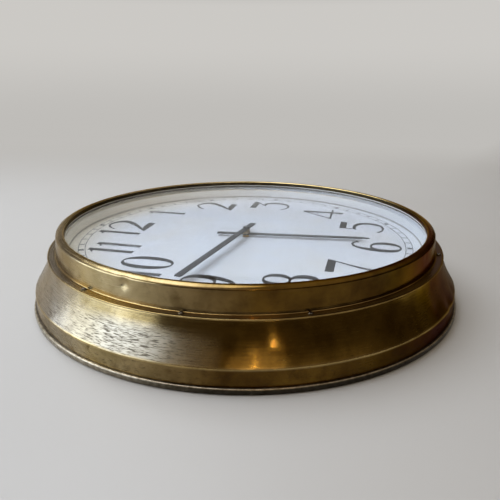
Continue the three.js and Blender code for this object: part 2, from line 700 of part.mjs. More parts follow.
function centreArbor() {
  const collarZ = rearPlateTop + LAYER_GAP;
  return revolve([
    [0, rearPlateZ - ARBOR_TAIL],
    [ARBOR_RADIUS, rearPlateZ - ARBOR_TAIL],
    [ARBOR_RADIUS, collarZ],
    [ARBOR_RADIUS + COLLAR_WALL, collarZ],
    [ARBOR_RADIUS + COLLAR_WALL, collarZ + COLLAR_LENGTH],
    [ARBOR_RADIUS, collarZ + COLLAR_LENGTH],
    [ARBOR_RADIUS, nutZ + NUT_HEIGHT - SEAT_GAP],
    [0, nutZ + NUT_HEIGHT - SEAT_GAP],
  ]);
}

// A shoulder screw: the minute wheel turns on its shank and its head keeps the wheel on.
function minuteWheelScrew() {
  const head = STUD_SCREW_RADIUS + STUD_HEAD_WALL;
  const seat = minutePinionTop + RUNNING_GAP;
  return revolve([
    [0, frontPlateZ - SHEET],
    [STUD_SCREW_RADIUS, frontPlateZ - SHEET],
    [STUD_SCREW_RADIUS, seat],
    [head, seat],
    [head, seat + STUD_HEAD_HEIGHT],
    [0, seat + STUD_HEAD_HEIGHT],
  ]);
}

function motorPinion() {
  const teethZ = motorTop + MOTOR_BOSS_HEIGHT + LAYER_GAP;
  const top = centreWheelZ + WHEEL_THICKNESS + LAYER_GAP;
  const shaft = cylinder(MOTOR_SHAFT_RADIUS, motorTop + MOTOR_BOSS_HEIGHT - MOTOR_SHAFT_DEPTH + SEAT_GAP, top);
  return pinion(MOTOR_PINION_TEETH, 0, teethZ, top - teethZ).add(shaft);
}

const minuteWheelTurn = meshTurn(CANNON_TEETH, MINUTE_WHEEL_TEETH, 0);
const minutePinionTurn = meshTurn(HOUR_WHEEL_TEETH, MINUTE_PINION_TEETH, 0);
const motorPinionTurn = meshTurn(CENTRE_WHEEL_TEETH, MOTOR_PINION_TEETH, Math.PI);
const studBore = STUD_SCREW_RADIUS + RUNNING_GAP;
const minuteAxis = [trainCentres, 0, 0];

add('centre_arbor', centreArbor(), brightSteel);
add('centre_wheel', wheel(CENTRE_WHEEL_TEETH, ARBOR_RADIUS + SEAT_GAP, centreWheelZ), plateBrass);
add('motor_pinion', motorPinion(), brightSteel, [-motorCentres, 0, 0], motorPinionTurn);
add('cannon_pinion', cannonPinion(), plateBrass);
add('minute_wheel', wheel(MINUTE_WHEEL_TEETH, studBore, cannonZ), plateBrass, minuteAxis, minuteWheelTurn);
add('minute_pinion', pinion(MINUTE_PINION_TEETH, studBore, minutePinionZ, MINUTE_PINION_LENGTH), brightSteel,
  minuteAxis, minutePinionTurn);
add('minute_wheel_screw', minuteWheelScrew(), brightSteel, minuteAxis);
add('hour_wheel', hourWheel(), plateBrass);

// Movement plates and pillars

function movementPlate(z, holes) {
  const shape = roundedRectangle(plateHalfWidth, plateHalfHeight, PLATE_CORNER);
  shape.holes.push(...holes);
  return extrude(shape, z, z + PLATE_THICKNESS);
}

function cornerHoles(radius) {
  return corners.map(([x, y]) => circlePath(x * pillarX, y * pillarY, radius));
}

function rearPlate() {
  const window = new THREE.Path();
  const halfWidth = CELL_RADIUS + TRAY_PLAY;
  window.moveTo(-pocketHalfLength, trayY - halfWidth);
  window.lineTo(-pocketHalfLength, trayY + halfWidth);
  window.lineTo(pocketHalfLength, trayY + halfWidth);
  window.lineTo(pocketHalfLength, trayY - halfWidth);
  window.closePath();
  const screws = [-1, 1].map((side) => circlePath(motorX, side * MOTOR_SCREW_SPREAD, SCREW_RADIUS + SEAT_GAP));
  const arbor = circlePath(0, 0, ARBOR_RADIUS + RUNNING_GAP);
  return movementPlate(rearPlateZ, [...cornerHoles(PILLAR_STUD_RADIUS + SEAT_GAP), ...screws, arbor, window]);
}

function frontPlate() {
  const arbor = circlePath(0, 0, ARBOR_RADIUS + RUNNING_GAP);
  const stud = circlePath(trainCentres, 0, STUD_SCREW_RADIUS + SEAT_GAP);
  return movementPlate(frontPlateZ, [...cornerHoles(DIAL_STUD_RADIUS + SEAT_GAP), arbor, stud]);
}

// A turned pillar: a stud below for its nut, and a threaded socket above for the stud of a dial foot.
function pillar() {
  const top = pillarZ + PILLAR_LENGTH;
  const socket = DIAL_STUD_RADIUS + SEAT_GAP;
  const socketEnd = dialFootZ - DIAL_STUD_LENGTH - SEAT_GAP;
  const studEnd = rearPlateZ - PILLAR_STUD_LENGTH;
  return revolve([
    [0, studEnd],
    [PILLAR_STUD_RADIUS, studEnd],
    [PILLAR_STUD_RADIUS, pillarZ],
    [PILLAR_RADIUS, pillarZ],
    [PILLAR_RADIUS, top],
    [socket, top],
    [socket, socketEnd],
    [0, socketEnd],
  ], SMALL_SIDES);
}

function pillarNut() {
  const z = rearPlateZ - SEAT_GAP - PILLAR_NUT_HEIGHT;
  return hexNut(PILLAR_STUD_RADIUS + SEAT_GAP, PILLAR_NUT_WALL, z, PILLAR_NUT_HEIGHT);
}

add('movement_rear_plate', rearPlate(), plateBrass);
add('movement_front_plate', frontPlate(), plateBrass);
corners.forEach(([x, y], i) => {
  add(`pillar_${i + 1}`, pillar(), plateBrass, [x * pillarX, y * pillarY, 0]);
  add(`pillar_nut_${i + 1}`, pillarNut(), brightSteel, [x * pillarX, y * pillarY, 0]);
});

// Motor: a sealed can with its reduction gears inside and the output shaft off its middle

function gearedMotor() {
  const boss = MOTOR_SHAFT_RADIUS + MOTOR_BOSS_WALL;
  const can = revolve([
    [0, pillarZ],
    [MOTOR_RADIUS, pillarZ],
    [MOTOR_RADIUS, motorTop - MOTOR_CHAMFER],
    [MOTOR_RADIUS - MOTOR_CHAMFER, motorTop],
    [0, motorTop],
  ], 2 * ROUND_SIDES).translate([motorX, 0, 0]);
  const shaftX = -motorCentres;
  const bossTop = motorTop + MOTOR_BOSS_HEIGHT;
  const raised = cylinder(boss, motorTop - SHEET, bossTop).translate([shaftX, 0, 0]);
  const bore = cylinder(MOTOR_SHAFT_RADIUS + SEAT_GAP, bossTop - MOTOR_SHAFT_DEPTH, bossTop + SHEET);
  const block = box(motorX + MOTOR_OFFSET / 2, terminalY / 2, pillarZ, TERMINAL_WIDTH, -terminalY, TERMINAL_HEIGHT);
  const screwHole = drill(SCREW_RADIUS + SEAT_GAP, rearPlateZ, pillarZ + MOTOR_SCREW_DEPTH);
  let body = can.add(raised).add(block).subtract(bore.translate([shaftX, 0, 0]));
  for (const side of [-1, 1]) {
    body = body.subtract(screwHole.translate([motorX, side * MOTOR_SCREW_SPREAD, 0]));
  }
  return body;
}

function motorScrew() {
  const seat = rearPlateZ - SEAT_GAP;
  const head = SCREW_RADIUS + SCREW_HEAD_WALL;
  const end = pillarZ + MOTOR_SCREW_DEPTH - SEAT_GAP;
  return revolve([
    [0, seat - SCREW_HEAD_HEIGHT],
    [head, seat - SCREW_HEAD_HEIGHT],
    [head, seat],
    [SCREW_RADIUS, seat],
    [SCREW_RADIUS, end],
    [0, end],
  ], SMALL_SIDES);
}

add('geared_motor', gearedMotor(), zincCan);
[-1, 1].forEach((side, i) => {
  add(`motor_screw_${i + 1}`, motorScrew(), brightSteel, [motorX, side * MOTOR_SCREW_SPREAD, 0]);
});

// Battery: a tray open to the rear over a window in the rear plate, a cell and two contact strips

const positiveX = -cellEnd - SEAT_GAP - CONTACT_THICKNESS / 2;
const negativeX = CELL_LENGTH / 2 + SEAT_GAP + CONTACT_THICKNESS / 2;
const positiveZ = cellZ - CONTACT_HEIGHT / 2;
const negativeZ = positiveZ - CONTACT_HEIGHT - LAYER_GAP;
const contactEnd = terminalY - SEAT_GAP;

function batteryTray() {
  const width = 2 * (pocketHalfLength + TRAY_WALL);
  const outer = box(0, trayY, pillarZ, width, 2 * trayHalfWidth, trayTop - pillarZ);
  const pocketDepth = 2 * (CELL_RADIUS + TRAY_PLAY);
  const pocket = box(0, trayY, pillarZ - TRAY_WALL, 2 * pocketHalfLength, pocketDepth, trayTop - pillarZ);
  const slotWidth = CONTACT_THICKNESS + 2 * SEAT_GAP;
  const slotHeight = positiveZ + CONTACT_HEIGHT + SEAT_GAP - pillarZ + TRAY_WALL;
  let body = outer.subtract(pocket);
  for (const x of [positiveX, negativeX]) {
    body = body.subtract(box(x, trayY + trayHalfWidth, pillarZ - TRAY_WALL, slotWidth, 2 * trayHalfWidth,
      slotHeight));
  }
  return body;
}

function batteryCell() {
  const half = CELL_LENGTH / 2;
  const body = revolve([
    [0, -half],
    [CELL_RADIUS, -half],
    [CELL_RADIUS, half],
    [CELL_NUB_RADIUS, half],
    [CELL_NUB_RADIUS, cellEnd],
    [0, cellEnd],
  ]);
  return body.rotate([0, -90, 0]).translate([0, trayY, cellZ]);
}

function positiveContact() {
  const start = trayY - CELL_RADIUS / 2;
  return box(positiveX, (start + contactEnd) / 2, positiveZ, CONTACT_THICKNESS, contactEnd - start, CONTACT_HEIGHT);
}

// A strip on edge: across the cell's base, out through the tray wall and along it to the motor.
function negativeContact() {
  const start = trayY - CELL_RADIUS / 2;
  const half = CONTACT_THICKNESS / 2;
  const lugX = motorX + MOTOR_OFFSET / 2 - TERMINAL_WIDTH / 4;
  const run = trayY + trayHalfWidth + TRAY_CLEARANCE / 2;
  const shape = new THREE.Shape();
  shape.moveTo(negativeX - half, start);
  shape.lineTo(negativeX + half, start);
  shape.lineTo(negativeX + half, run + half);
  shape.lineTo(lugX + half, run + half);
  shape.lineTo(lugX + half, contactEnd);
  shape.lineTo(lugX - half, contactEnd);
  shape.lineTo(lugX - half, run - half);
  shape.lineTo(negativeX - half, run - half);
  return extrude(shape, negativeZ, negativeZ + CONTACT_HEIGHT);
}

add('battery_tray', batteryTray(), blackPlastic);
add('battery_cell', batteryCell(), cellJacket);
add('contact_positive', positiveContact(), plateBrass);
add('contact_negative', negativeContact(), plateBrass);

export default clock;
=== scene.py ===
# %% [markdown]
# # A workshop clock, dressed in Blender
# The clock lies on its back. The imported model gives every piece at its real size: +Z leaves the dial,
# +Y points to 12 o'clock and the origin is the middle of the flat steel back. This lesson keeps that
# frame, replaces the pieces that show with finer surfaces, and gives every piece its finish.

# %% The frame
import math
import bpy
import numpy as np
from mathutils import Matrix, Vector


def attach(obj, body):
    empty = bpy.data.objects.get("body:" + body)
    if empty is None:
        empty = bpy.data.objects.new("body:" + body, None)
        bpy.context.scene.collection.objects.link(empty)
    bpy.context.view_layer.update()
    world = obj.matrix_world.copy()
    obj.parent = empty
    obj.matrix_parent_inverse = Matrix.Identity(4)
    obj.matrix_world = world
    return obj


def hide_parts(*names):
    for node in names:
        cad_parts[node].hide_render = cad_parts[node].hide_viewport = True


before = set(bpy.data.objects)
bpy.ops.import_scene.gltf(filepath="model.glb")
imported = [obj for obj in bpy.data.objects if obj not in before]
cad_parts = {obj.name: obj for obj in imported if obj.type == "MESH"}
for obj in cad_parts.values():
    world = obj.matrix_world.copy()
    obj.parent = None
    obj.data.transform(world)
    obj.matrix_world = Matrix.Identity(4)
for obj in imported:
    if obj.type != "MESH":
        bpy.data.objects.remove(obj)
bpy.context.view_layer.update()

MM = 0.001

# %% [markdown]
# ## The camera
# The photograph was taken from about 0.8 m away, from the 9 o'clock side and a little above. A camera
# could be placed by eye, but the clock's own circles settle it: foot, ridge, shoulder and rim are all round
# and share one axis, so their ellipses give the place, the tilt and the lens. Those numbers go in here.

# %% Camera from the ellipses of the case
EYE = Vector((-734.5, -183.1, 310.0)) * MM
LOOK_AZIMUTH, LOOK_DOWN, ROLL = math.radians(13.53), math.radians(18.93), math.radians(-0.22)

ahead = Vector((math.cos(LOOK_AZIMUTH) * math.cos(LOOK_DOWN), math.sin(LOOK_AZIMUTH) * math.cos(LOOK_DOWN),
                -math.sin(LOOK_DOWN)))
across = Vector((math.sin(LOOK_AZIMUTH), -math.cos(LOOK_AZIMUTH), 0))
below = ahead.cross(across)
right = math.cos(ROLL) * across + math.sin(ROLL) * below
up = math.sin(ROLL) * across - math.cos(ROLL) * below
camera = bpy.data.objects.new("camera", bpy.data.cameras.new("camera"))
bpy.context.scene.collection.objects.link(camera)
camera.matrix_world = Matrix.Translation(EYE) @ Matrix((right, up, -ahead)).transposed().to_4x4()
camera.data.sensor_width = 36
camera.data.lens = 37.89
camera.data.clip_start, camera.data.clip_end = 0.02, 50
bpy.context.scene.camera = camera
print("camera: lens", camera.data.lens, "mm,", round(EYE.length, 3), "m from the middle of the back")

# %% [markdown]
# ## Small tools
# A surface here is a grid of points worked out with numpy: one index runs along a profile, the other round
# the axis or along a stroke. One function turns such grids into a mesh, so a seam is closed by wrapping the
# index and an end by one flat face. It also measures each part's volume and turns the faces round if that
# comes out negative, which keeps all normals outwards. The other tools turn a hex colour into the linear
# values that shaders use, add a node with its settings and links, and start a material. A Map Range node
# gives 0 to 1 unless its inputs 3 and 4 say otherwise, so these are often left out.

# %% Tools: colour, node, material, mesh


def linear(hex_colour):
    """sRGB hex to linear RGBA: c / 12.92 below 0.04045, otherwise ((c + 0.055) / 1.055) to the power 2.4."""
    c = np.array([int(hex_colour[i:i + 2], 16) for i in (0, 2, 4)]) / 255
    return (*np.where(c <= 0.04045, c / 12.92, ((c + 0.055) / 1.055) ** 2.4).tolist(), 1.0)


def add(tree, kind, inputs=(), **settings):
    """One node: settings are its own properties, inputs go by name or number, and a socket is linked."""
    node = tree.nodes.new("ShaderNode" + kind)
    for key, value in settings.items():
        setattr(node, key, value)
    for key, value in dict(inputs).items():
        if isinstance(value, bpy.types.NodeSocket):
            tree.links.new(value, node.inputs[key])
        else:
            node.inputs[key].default_value = value
    return node


def new_material(name):
    """A material with nodes, and with it its tree and its main shader."""
    material = bpy.data.materials.new(name)
    material.use_nodes = True
    return material, material.node_tree, material.node_tree.nodes["Principled BSDF"]


def grid_faces(rows, columns, wrap_rows, wrap_columns):
    """Corner numbers of the quads (i, j), (i, j+1), (i+1, j+1), (i+1, j) of a grid."""
    i = np.arange(rows if wrap_rows else rows - 1)[:, None]
    j = np.arange(columns if wrap_columns else columns - 1)[None, :]
    down, over = (i + 1) % rows, (j + 1) % columns
    quads = [i * columns + j, i * columns + over, down * columns + over, down * columns + j]
    return np.stack(np.broadcast_arrays(*quads), -1).reshape(-1, 4)


def piece(name, parts, material, body, slot, node=(), sharp=35, **values):
    """Grids in mm, each with its wrapping, as one mesh in metres that rides on a body.
    values are point attributes: arrays with one row for each point, in the order of the parts."""
    points, faces, start = [], [], 0
    for grid, wrap_rows, wrap_columns in parts:
        rows, columns = grid.shape[:2]
        flat = grid.reshape(-1, 3)
        quads = grid_faces(rows, columns, wrap_rows, wrap_columns)
        ends = []
        if not wrap_rows:
            ends = [np.arange(columns)[::-1].tolist(), ((rows - 1) * columns + np.arange(columns)).tolist()]
        a, b, c, d = (flat[quads[:, k]] for k in range(4))
        cones = (a * (np.cross(b, c) + np.cross(c, d))).sum()
        for end in ends:
            ring = flat[end]
            cones += (ring[0] * np.cross(ring[1:-1], ring[2:])).sum()
        step = 1 if cones > 0 else -1
        faces += (quads[:, ::step] + start).tolist() + [[start + k for k in end[::step]] for end in ends]
        points.append(flat)
        start += len(flat)
    mesh = bpy.data.meshes.new(name)
    mesh.from_pydata((np.concatenate(points) * MM).tolist(), [], faces)
    mesh.polygons.foreach_set("use_smooth", np.ones(len(faces), bool))
    mesh.set_sharp_from_angle(angle=math.radians(sharp))
    for key, rows in values.items():
        kind = "FLOAT_VECTOR" if rows.ndim == 2 else "FLOAT"
        mesh.attributes.new(key, kind, "POINT").data.foreach_set(
            "vector" if rows.ndim == 2 else "value", rows.astype(np.float32).ravel())
    mesh.materials.append(material)
    made = bpy.data.objects.new(name, mesh)
    bpy.context.scene.collection.objects.link(made)
    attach(made, body)
    if node:
        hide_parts(*([node] if isinstance(node, str) else node))
    return made


ring_quads = len(grid_faces(3, 4, True, True))
print("tools: mid grey is", round(linear("808080")[0], 4), "and a 3 by 4 ring has", ring_quads, "quads")

# %% [markdown]
# ## Aged spun brass
# The case and the bezel are brass sheet, spun on a lathe over a former, so fine lines run round the axis.
# Age has toned it by zones, and light and shade are painted into them too. The flank towards 11 o'clock is
# pale, with a grey cast at its far edge that is a painted reflection. The side towards 7 is brown, partly
# tarnish and partly painted shade, and still smooth under old lacquer. Its upright parts are redder and
# darker with painted shade, and towards 6 and on its foot towards 7 it is dull and painted deep brown with
# shade. A patch between 9 and 10 is scraped bare, with short dark dashes along the turning. Edges are rubbed
# bright, partly wear and partly painted highlight, dust lies on the bezel's flange, the lip that meets the
# glass is darkened nearly to black, and a line of white putty meets the glass.
# A painted image would be the quick way, but noise stretched along the turning stays sharp at any distance,
# and a zone is no more than a distance along a direction. Each spun piece carries two attributes: turned,
# which is x, y and the distance along the profile, and one that is 1 on a rubbed edge, which is partly wear
# and partly painted highlight. A noise on turned with a small x-y scale and a large profile scale gives lines
# round the axis with no seam.
# Real turning lines are about 0.05 mm apart. They are drawn at 1 mm, or they would not show.

# %% Material: aged spun brass
# Directions from the axis across the dial, the middle of the scraped patch in metres, and how much the
# noises of the lines and the dashes are stretched
TOWARDS_11, TOWARDS_7, TOWARDS_6 = (-0.5, 0.866, 0), (-0.57, -0.82, 0), (-0.087, -0.996, 0)
# The first direction on the next line points to the foot that is painted with shade
SHADED_FOOT_WAY, SCRAPED_AT = (-0.42, -0.907, 0), (-0.2872, 0.0506, 0.042)
LINE_SCALE, DASH_SCALE = (9, 9, 1000), (100, 100, 1150)


def aged_spun_brass():
    """Brass F0 from scraped white to brown, partly tarnish and partly painted shade: lines of 1 mm, dashes of
    10 by 0.9 mm, blots of 22 mm, clouds of 60 mm and broad drifts of 200 mm. Heights, radii and distances are
    in metres."""
    material, tree, shader = new_material("aged_spun_brass")
    turned = add(tree, "Attribute", attribute_name="turned").outputs["Vector"]
    worn = add(tree, "Attribute", attribute_name="worn").outputs["Fac"]
    place = add(tree, "TexCoord").outputs["Object"]
    along_lines = add(tree, "VectorMath", {0: turned, 1: LINE_SCALE}, operation="MULTIPLY").outputs[0]
    lines = add(tree, "TexNoise", {"Vector": along_lines, "Scale": 1.0, "Detail": 3.0,
                                   "Roughness": 0.7}).outputs[0]
    along_dashes = add(tree, "VectorMath", {0: turned, 1: DASH_SCALE}, operation="MULTIPLY").outputs[0]
    specks = add(tree, "TexNoise", {"Vector": along_dashes, "Scale": 1.0, "Detail": 2.0,
                                    "Roughness": 0.6}).outputs[0]
    clouds = add(tree, "TexNoise", {"Vector": place, "Scale": 17.0, "Detail": 5.0,
                                    "Roughness": 0.62}).outputs[0]
    broad = add(tree, "TexNoise", {"Vector": place, "Scale": 5.0, "Detail": 2.0}).outputs[0]
    blots = add(tree, "TexNoise", {"Vector": place, "Scale": 45.0, "Detail": 6.0,
                                   "Roughness": 0.7}).outputs[0]
    height = add(tree, "SeparateXYZ", {0: place}).outputs["Z"]
    flat = add(tree, "VectorMath", {0: place, 1: (1, 1, 0)}, operation="MULTIPLY").outputs[0]
    radius = add(tree, "VectorMath", {0: flat}, operation="LENGTH").outputs["Value"]
    to_7 = add(tree, "VectorMath", {0: place, 1: TOWARDS_7}, operation="DOT_PRODUCT").outputs["Value"]
    to_6 = add(tree, "VectorMath", {0: place, 1: TOWARDS_6}, operation="DOT_PRODUCT").outputs["Value"]
    to_11 = add(tree, "VectorMath", {0: place, 1: TOWARDS_11}, operation="DOT_PRODUCT").outputs["Value"]
    to_shaded_foot = add(tree, "VectorMath", {0: place, 1: SHADED_FOOT_WAY}, operation="DOT_PRODUCT").outputs["Value"]
    away = add(tree, "VectorMath", {0: place, 1: SCRAPED_AT}, operation="DISTANCE").outputs["Value"]

    # Clouds of tarnish on three brasses: pale, olive on the brown side, ruddy with painted shade on upright
    # parts
    tarnish = add(tree, "MapRange", {0: clouds, 1: 0.38, 2: 0.68}).outputs[0]
    pale = add(tree, "Mix", {0: tarnish, 6: linear("b8a67e"), 7: linear("8f7c50")},
               data_type="RGBA").outputs[2]
    olive = add(tree, "Mix", {0: tarnish, 6: linear("a08440"), 7: linear("6c5220")},
                data_type="RGBA").outputs[2]
    painted_shade_ruddy = add(tree, "Mix", {0: tarnish, 6: linear("70541f"), 7: linear("442d0e")},
                data_type="RGBA").outputs[2]
    foot = add(tree, "MapRange", {0: height, 1: 0.0285, 2: 0.0265}).outputs[0]
    upper = add(tree, "MapRange", {0: height, 1: 0.0705, 2: 0.0725}).outputs[0]
    upright = add(tree, "Math", {0: foot, 1: upper}, operation="MAXIMUM").outputs[0]
    brown = add(tree, "Mix", {0: upright, 6: olive, 7: painted_shade_ruddy}, data_type="RGBA").outputs[2]
    # A grey cast far towards 11 is a painted reflection; the pale and brown sides are part tarnish, part
    # painted shade
    grey_painted_reflection = add(tree, "MapRange", {0: to_11, 1: 0.232, 2: 0.27, 4: 0.95}).outputs[0]
    pale = add(tree, "Mix", {0: grey_painted_reflection, 6: pale, 7: linear("b9b1a5")}, data_type="RGBA").outputs[2]
    aged_and_shaded = add(tree, "MapRange", {0: to_7, 1: 0.06, 2: 0.21}).outputs[0]
    toned = add(tree, "Mix", {0: aged_and_shaded, 6: pale, 7: brown}, data_type="RGBA").outputs[2]

    # Painted shade, deep brown, towards 6 o'clock and on the foot towards 7; a green cast here and there;
    # stains
    painted_shade_towards_6 = add(tree, "MapRange", {0: to_6, 1: 0.25, 2: 0.28, 4: 0.65}).outputs[0]
    foot_shade_mask = add(tree, "MapRange", {0: to_shaded_foot, 1: 0.255, 2: 0.285, 4: foot}).outputs[0]
    foot_shade = add(tree, "Math", {0: foot_shade_mask, 1: 0.6}, operation="MULTIPLY").outputs[0]
    deep = add(tree, "Math", {0: painted_shade_towards_6, 1: foot_shade}, operation="MAXIMUM").outputs[0]
    toned = add(tree, "Mix", {0: deep, 6: toned, 7: linear("2e1d08")}, data_type="RGBA").outputs[2]
    green = add(tree, "MapRange", {0: broad, 1: 0.45, 2: 0.7, 4: 0.4}).outputs[0]
    toned = add(tree, "Mix", {0: green, 6: toned, 7: linear("6b6038")}, data_type="RGBA").outputs[2]
    foot_stain_share = add(tree, "MapRange", {0: foot, 3: 0.5, 4: 0.8}).outputs[0]
    stain = add(tree, "MapRange", {0: blots, 1: 0.5, 2: 0.7, 4: foot_stain_share}).outputs[0]
    toned = add(tree, "Mix", {0: stain, 6: toned, 7: linear("46300f")}, data_type="RGBA").outputs[2]

    # The scraped patch on the lower skirt, and dark dashes there and, more thinly, all round
    near = add(tree, "MapRange", {0: away, 1: 0.1, 2: 0.03}).outputs[0]
    lower = add(tree, "MapRange", {0: height, 1: 0.063, 2: 0.05, 4: near}).outputs[0]
    scraped = add(tree, "Math", {0: lower, 1: upright}, operation="SUBTRACT", use_clamp=True).outputs[0]
    bare = add(tree, "Math", {0: scraped, 1: 0.8}, operation="MULTIPLY").outputs[0]
    toned = add(tree, "Mix", {0: bare, 6: toned, 7: linear("d0c8b4")}, data_type="RGBA").outputs[2]
    low = add(tree, "MapRange", {0: height, 1: 0.068, 2: 0.05, 4: 0.8}).outputs[0]
    sparse = add(tree, "MapRange", {0: broad, 1: 0.35, 2: 0.55, 3: 0.61, 4: 0.55}).outputs[0]
    begin = add(tree, "Math", {0: scraped, 1: -0.1, 2: sparse}, operation="MULTIPLY_ADD").outputs[0]
    full = add(tree, "Math", {0: begin, 1: 0.15}, operation="ADD").outputs[0]
    dash = add(tree, "MapRange", {0: specks, 1: begin, 2: full, 4: low}).outputs[0]
    toned = add(tree, "Mix", {0: dash, 6: toned, 7: linear("3a2f1e")}, data_type="RGBA").outputs[2]

    # Rubbed edges with a painted highlight, dust on the bezel's flange, the glass's lip darkened, and the
    # putty in it
    patchy = add(tree, "MapRange", {0: clouds, 1: 0.3, 2: 0.6, 3: 0.85, 4: 0.4}).outputs[0]
    rub_and_highlight = add(tree, "Math", {0: worn, 1: patchy}, operation="MULTIPLY").outputs[0]
    toned = add(tree, "Mix", {0: rub_and_highlight, 6: toned, 7: linear("d8bd80")}, data_type="RGBA").outputs[2]
    cover = add(tree, "MapRange", {0: aged_and_shaded, 3: 0.05, 4: 0.35}).outputs[0]
    ring = add(tree, "MapRange", {0: radius, 1: 0.2711, 2: 0.2719, 4: cover}).outputs[0]
    flange = add(tree, "MapRange", {0: height, 1: 0.0722, 2: 0.0728, 4: ring}).outputs[0]
    dust = add(tree, "Math", {0: flange, 1: worn}, operation="SUBTRACT", use_clamp=True).outputs[0]
    toned = add(tree, "Mix", {0: dust, 6: toned, 7: linear("644a24")}, data_type="RGBA").outputs[2]
    # The lip that meets the glass is darkened nearly to black
    lip = add(tree, "MapRange", {0: radius, 1: 0.2578, 2: 0.2572, 4: 0.85}).outputs[0]
    toned = add(tree, "Mix", {0: lip, 6: toned, 7: linear("1d1711")}, data_type="RGBA").outputs[2]
    putty = add(tree, "MapRange", {0: height, 1: 0.0968, 2: 0.0962, 4: lip}).outputs[0]
    colour = add(tree, "Mix", {0: putty, 6: toned, 7: linear("dcdad4")}, data_type="RGBA").outputs[2]

    # The brown side is the smoothest, and dashes, scrapes, painted shade, the dark lip and blots each take
    # some gloss away
    least = add(tree, "MapRange", {0: aged_and_shaded, 3: 0.13, 4: 0.06}).outputs[0]
    most = add(tree, "MapRange", {0: aged_and_shaded, 3: 0.25, 4: 0.13}).outputs[0]
    rough = add(tree, "MapRange", {0: lines, 1: 0.3, 2: 0.7, 3: least, 4: most}).outputs[0]
    for mark, share in ((dash, 0.2), (scraped, 0.2), (deep, 0.35), (lip, 0.3), (blots, 0.12)):
        rough = add(tree, "Math", {0: mark, 1: share, 2: rough}, operation="MULTIPLY_ADD").outputs[0]
    pits = add(tree, "Math", {0: dash, 1: -0.6, 2: lines}, operation="MULTIPLY_ADD").outputs[0]
    relief = add(tree, "MapRange", {0: aged_and_shaded, 3: 0.25, 4: 0.05}).outputs[0]
    bump = add(tree, "Bump", {"Strength": relief, "Distance": 0.0006, "Height": pits}).outputs[0]
    tangent = add(tree, "Tangent", direction_type="RADIAL", axis="Z").outputs[0]

    # Dust and putty are no metal, and grazing light keeps a tint, not white: brown in painted shade, grey in
    # painted reflection
    dull = add(tree, "Math", {0: dust, 1: putty}, operation="ADD").outputs[0]
    bright = add(tree, "Math", {0: 1.0, 1: dull}, operation="SUBTRACT", use_clamp=True).outputs[0]
    grazing = add(tree, "Mix", {0: grey_painted_reflection, 6: linear("c8a868"), 7: linear("d8cbb6")},
                  data_type="RGBA").outputs[2]
    grazing = add(tree, "Mix", {0: deep, 6: grazing, 7: linear("a08a5c")}, data_type="RGBA").outputs[2]
    for key, value in {"Base Color": colour, "Metallic": bright, "Roughness": rough, "Normal": bump,
                       "Tangent": tangent, "Specular Tint": grazing}.items():
        tree.links.new(value, shader.inputs[key])
    for key, value in {"Anisotropic": 0.45, "Anisotropic Rotation": 0.25, "Coat Weight": 0.08,
                       "Coat Roughness": 0.1}.items():
        shader.inputs[key].default_value = value
    return material


brass = aged_spun_brass()
print("brass:", len(brass.node_tree.nodes), "nodes")

# %% [markdown]
# ## The spun case
# The case is one sheet: a foot flange, an upright band, a skirt that leans inwards with a slight hollow, a
# flat shoulder under the bezel and a step down to the ledge that carries the dial. A lathe shape could come
# from a Screw modifier, but a grid lets the sheet be a little uneven, as hand-spun brass is, and carry its
# attributes. The profile is drawn as corners with a fillet each, then turned round the axis.

# %% Profiles and turning
ARC_POINTS, SLIGHT_BEND = 6, 0.02


def filleted(corners, step=2.5):
    """A closed profile through [radius, z, fillet] corners: each corner becomes a parabola that leaves both
    sides at fillet * tan(half the turn) from it, of which a slight bend keeps only the two ends, and long
    straights are cut into steps."""
    p = np.array(corners, float)
    xy, fillet = p[:, :2], p[:, 2]
    before, after = np.roll(xy, 1, 0) - xy, np.roll(xy, -1, 0) - xy
    before /= np.linalg.norm(before, axis=1)[:, None]
    after /= np.linalg.norm(after, axis=1)[:, None]
    half = np.arccos(np.clip((before * after).sum(1), -1, 1)) / 2
    reach = fillet / np.tan(half)
    t = np.linspace(0, 1, ARC_POINTS)[None, :, None]
    start, end = (xy + before * reach[:, None])[:, None], (xy + after * reach[:, None])[:, None]
    arcs = (1 - t) ** 2 * start + 2 * t * (1 - t) * xy[:, None] + t ** 2 * end
    arcs = arcs[(reach > SLIGHT_BEND)[:, None] | np.isin(np.arange(ARC_POINTS), (0, ARC_POINTS - 1))]
    following = np.roll(arcs, -1, 0)
    cuts = np.maximum(1, np.ceil(np.linalg.norm(following - arcs, axis=1) / step)).astype(int)
    return np.concatenate([a + (b - a) * np.arange(n)[:, None] / n for a, b, n in zip(arcs, following, cuts)])


def turn(profile, sides=288):
    """Turns [radius, z] about Z: x = r cos a, y = r sin a, with a once round."""
    a = np.linspace(0, 2 * math.pi, sides, endpoint=False)[None, :]
    r, z = profile[:, :1], profile[:, 1:]
    return np.stack([r * np.cos(a), r * np.sin(a), np.broadcast_to(z, (len(profile), sides))], -1)


def along(profile, sides):
    """Distance along the profile in mm, one value for each point of the turned grid."""
    length = np.concatenate([[0], np.cumsum(np.linalg.norm(np.diff(profile, axis=0), axis=1))])
    return np.repeat(length, sides)


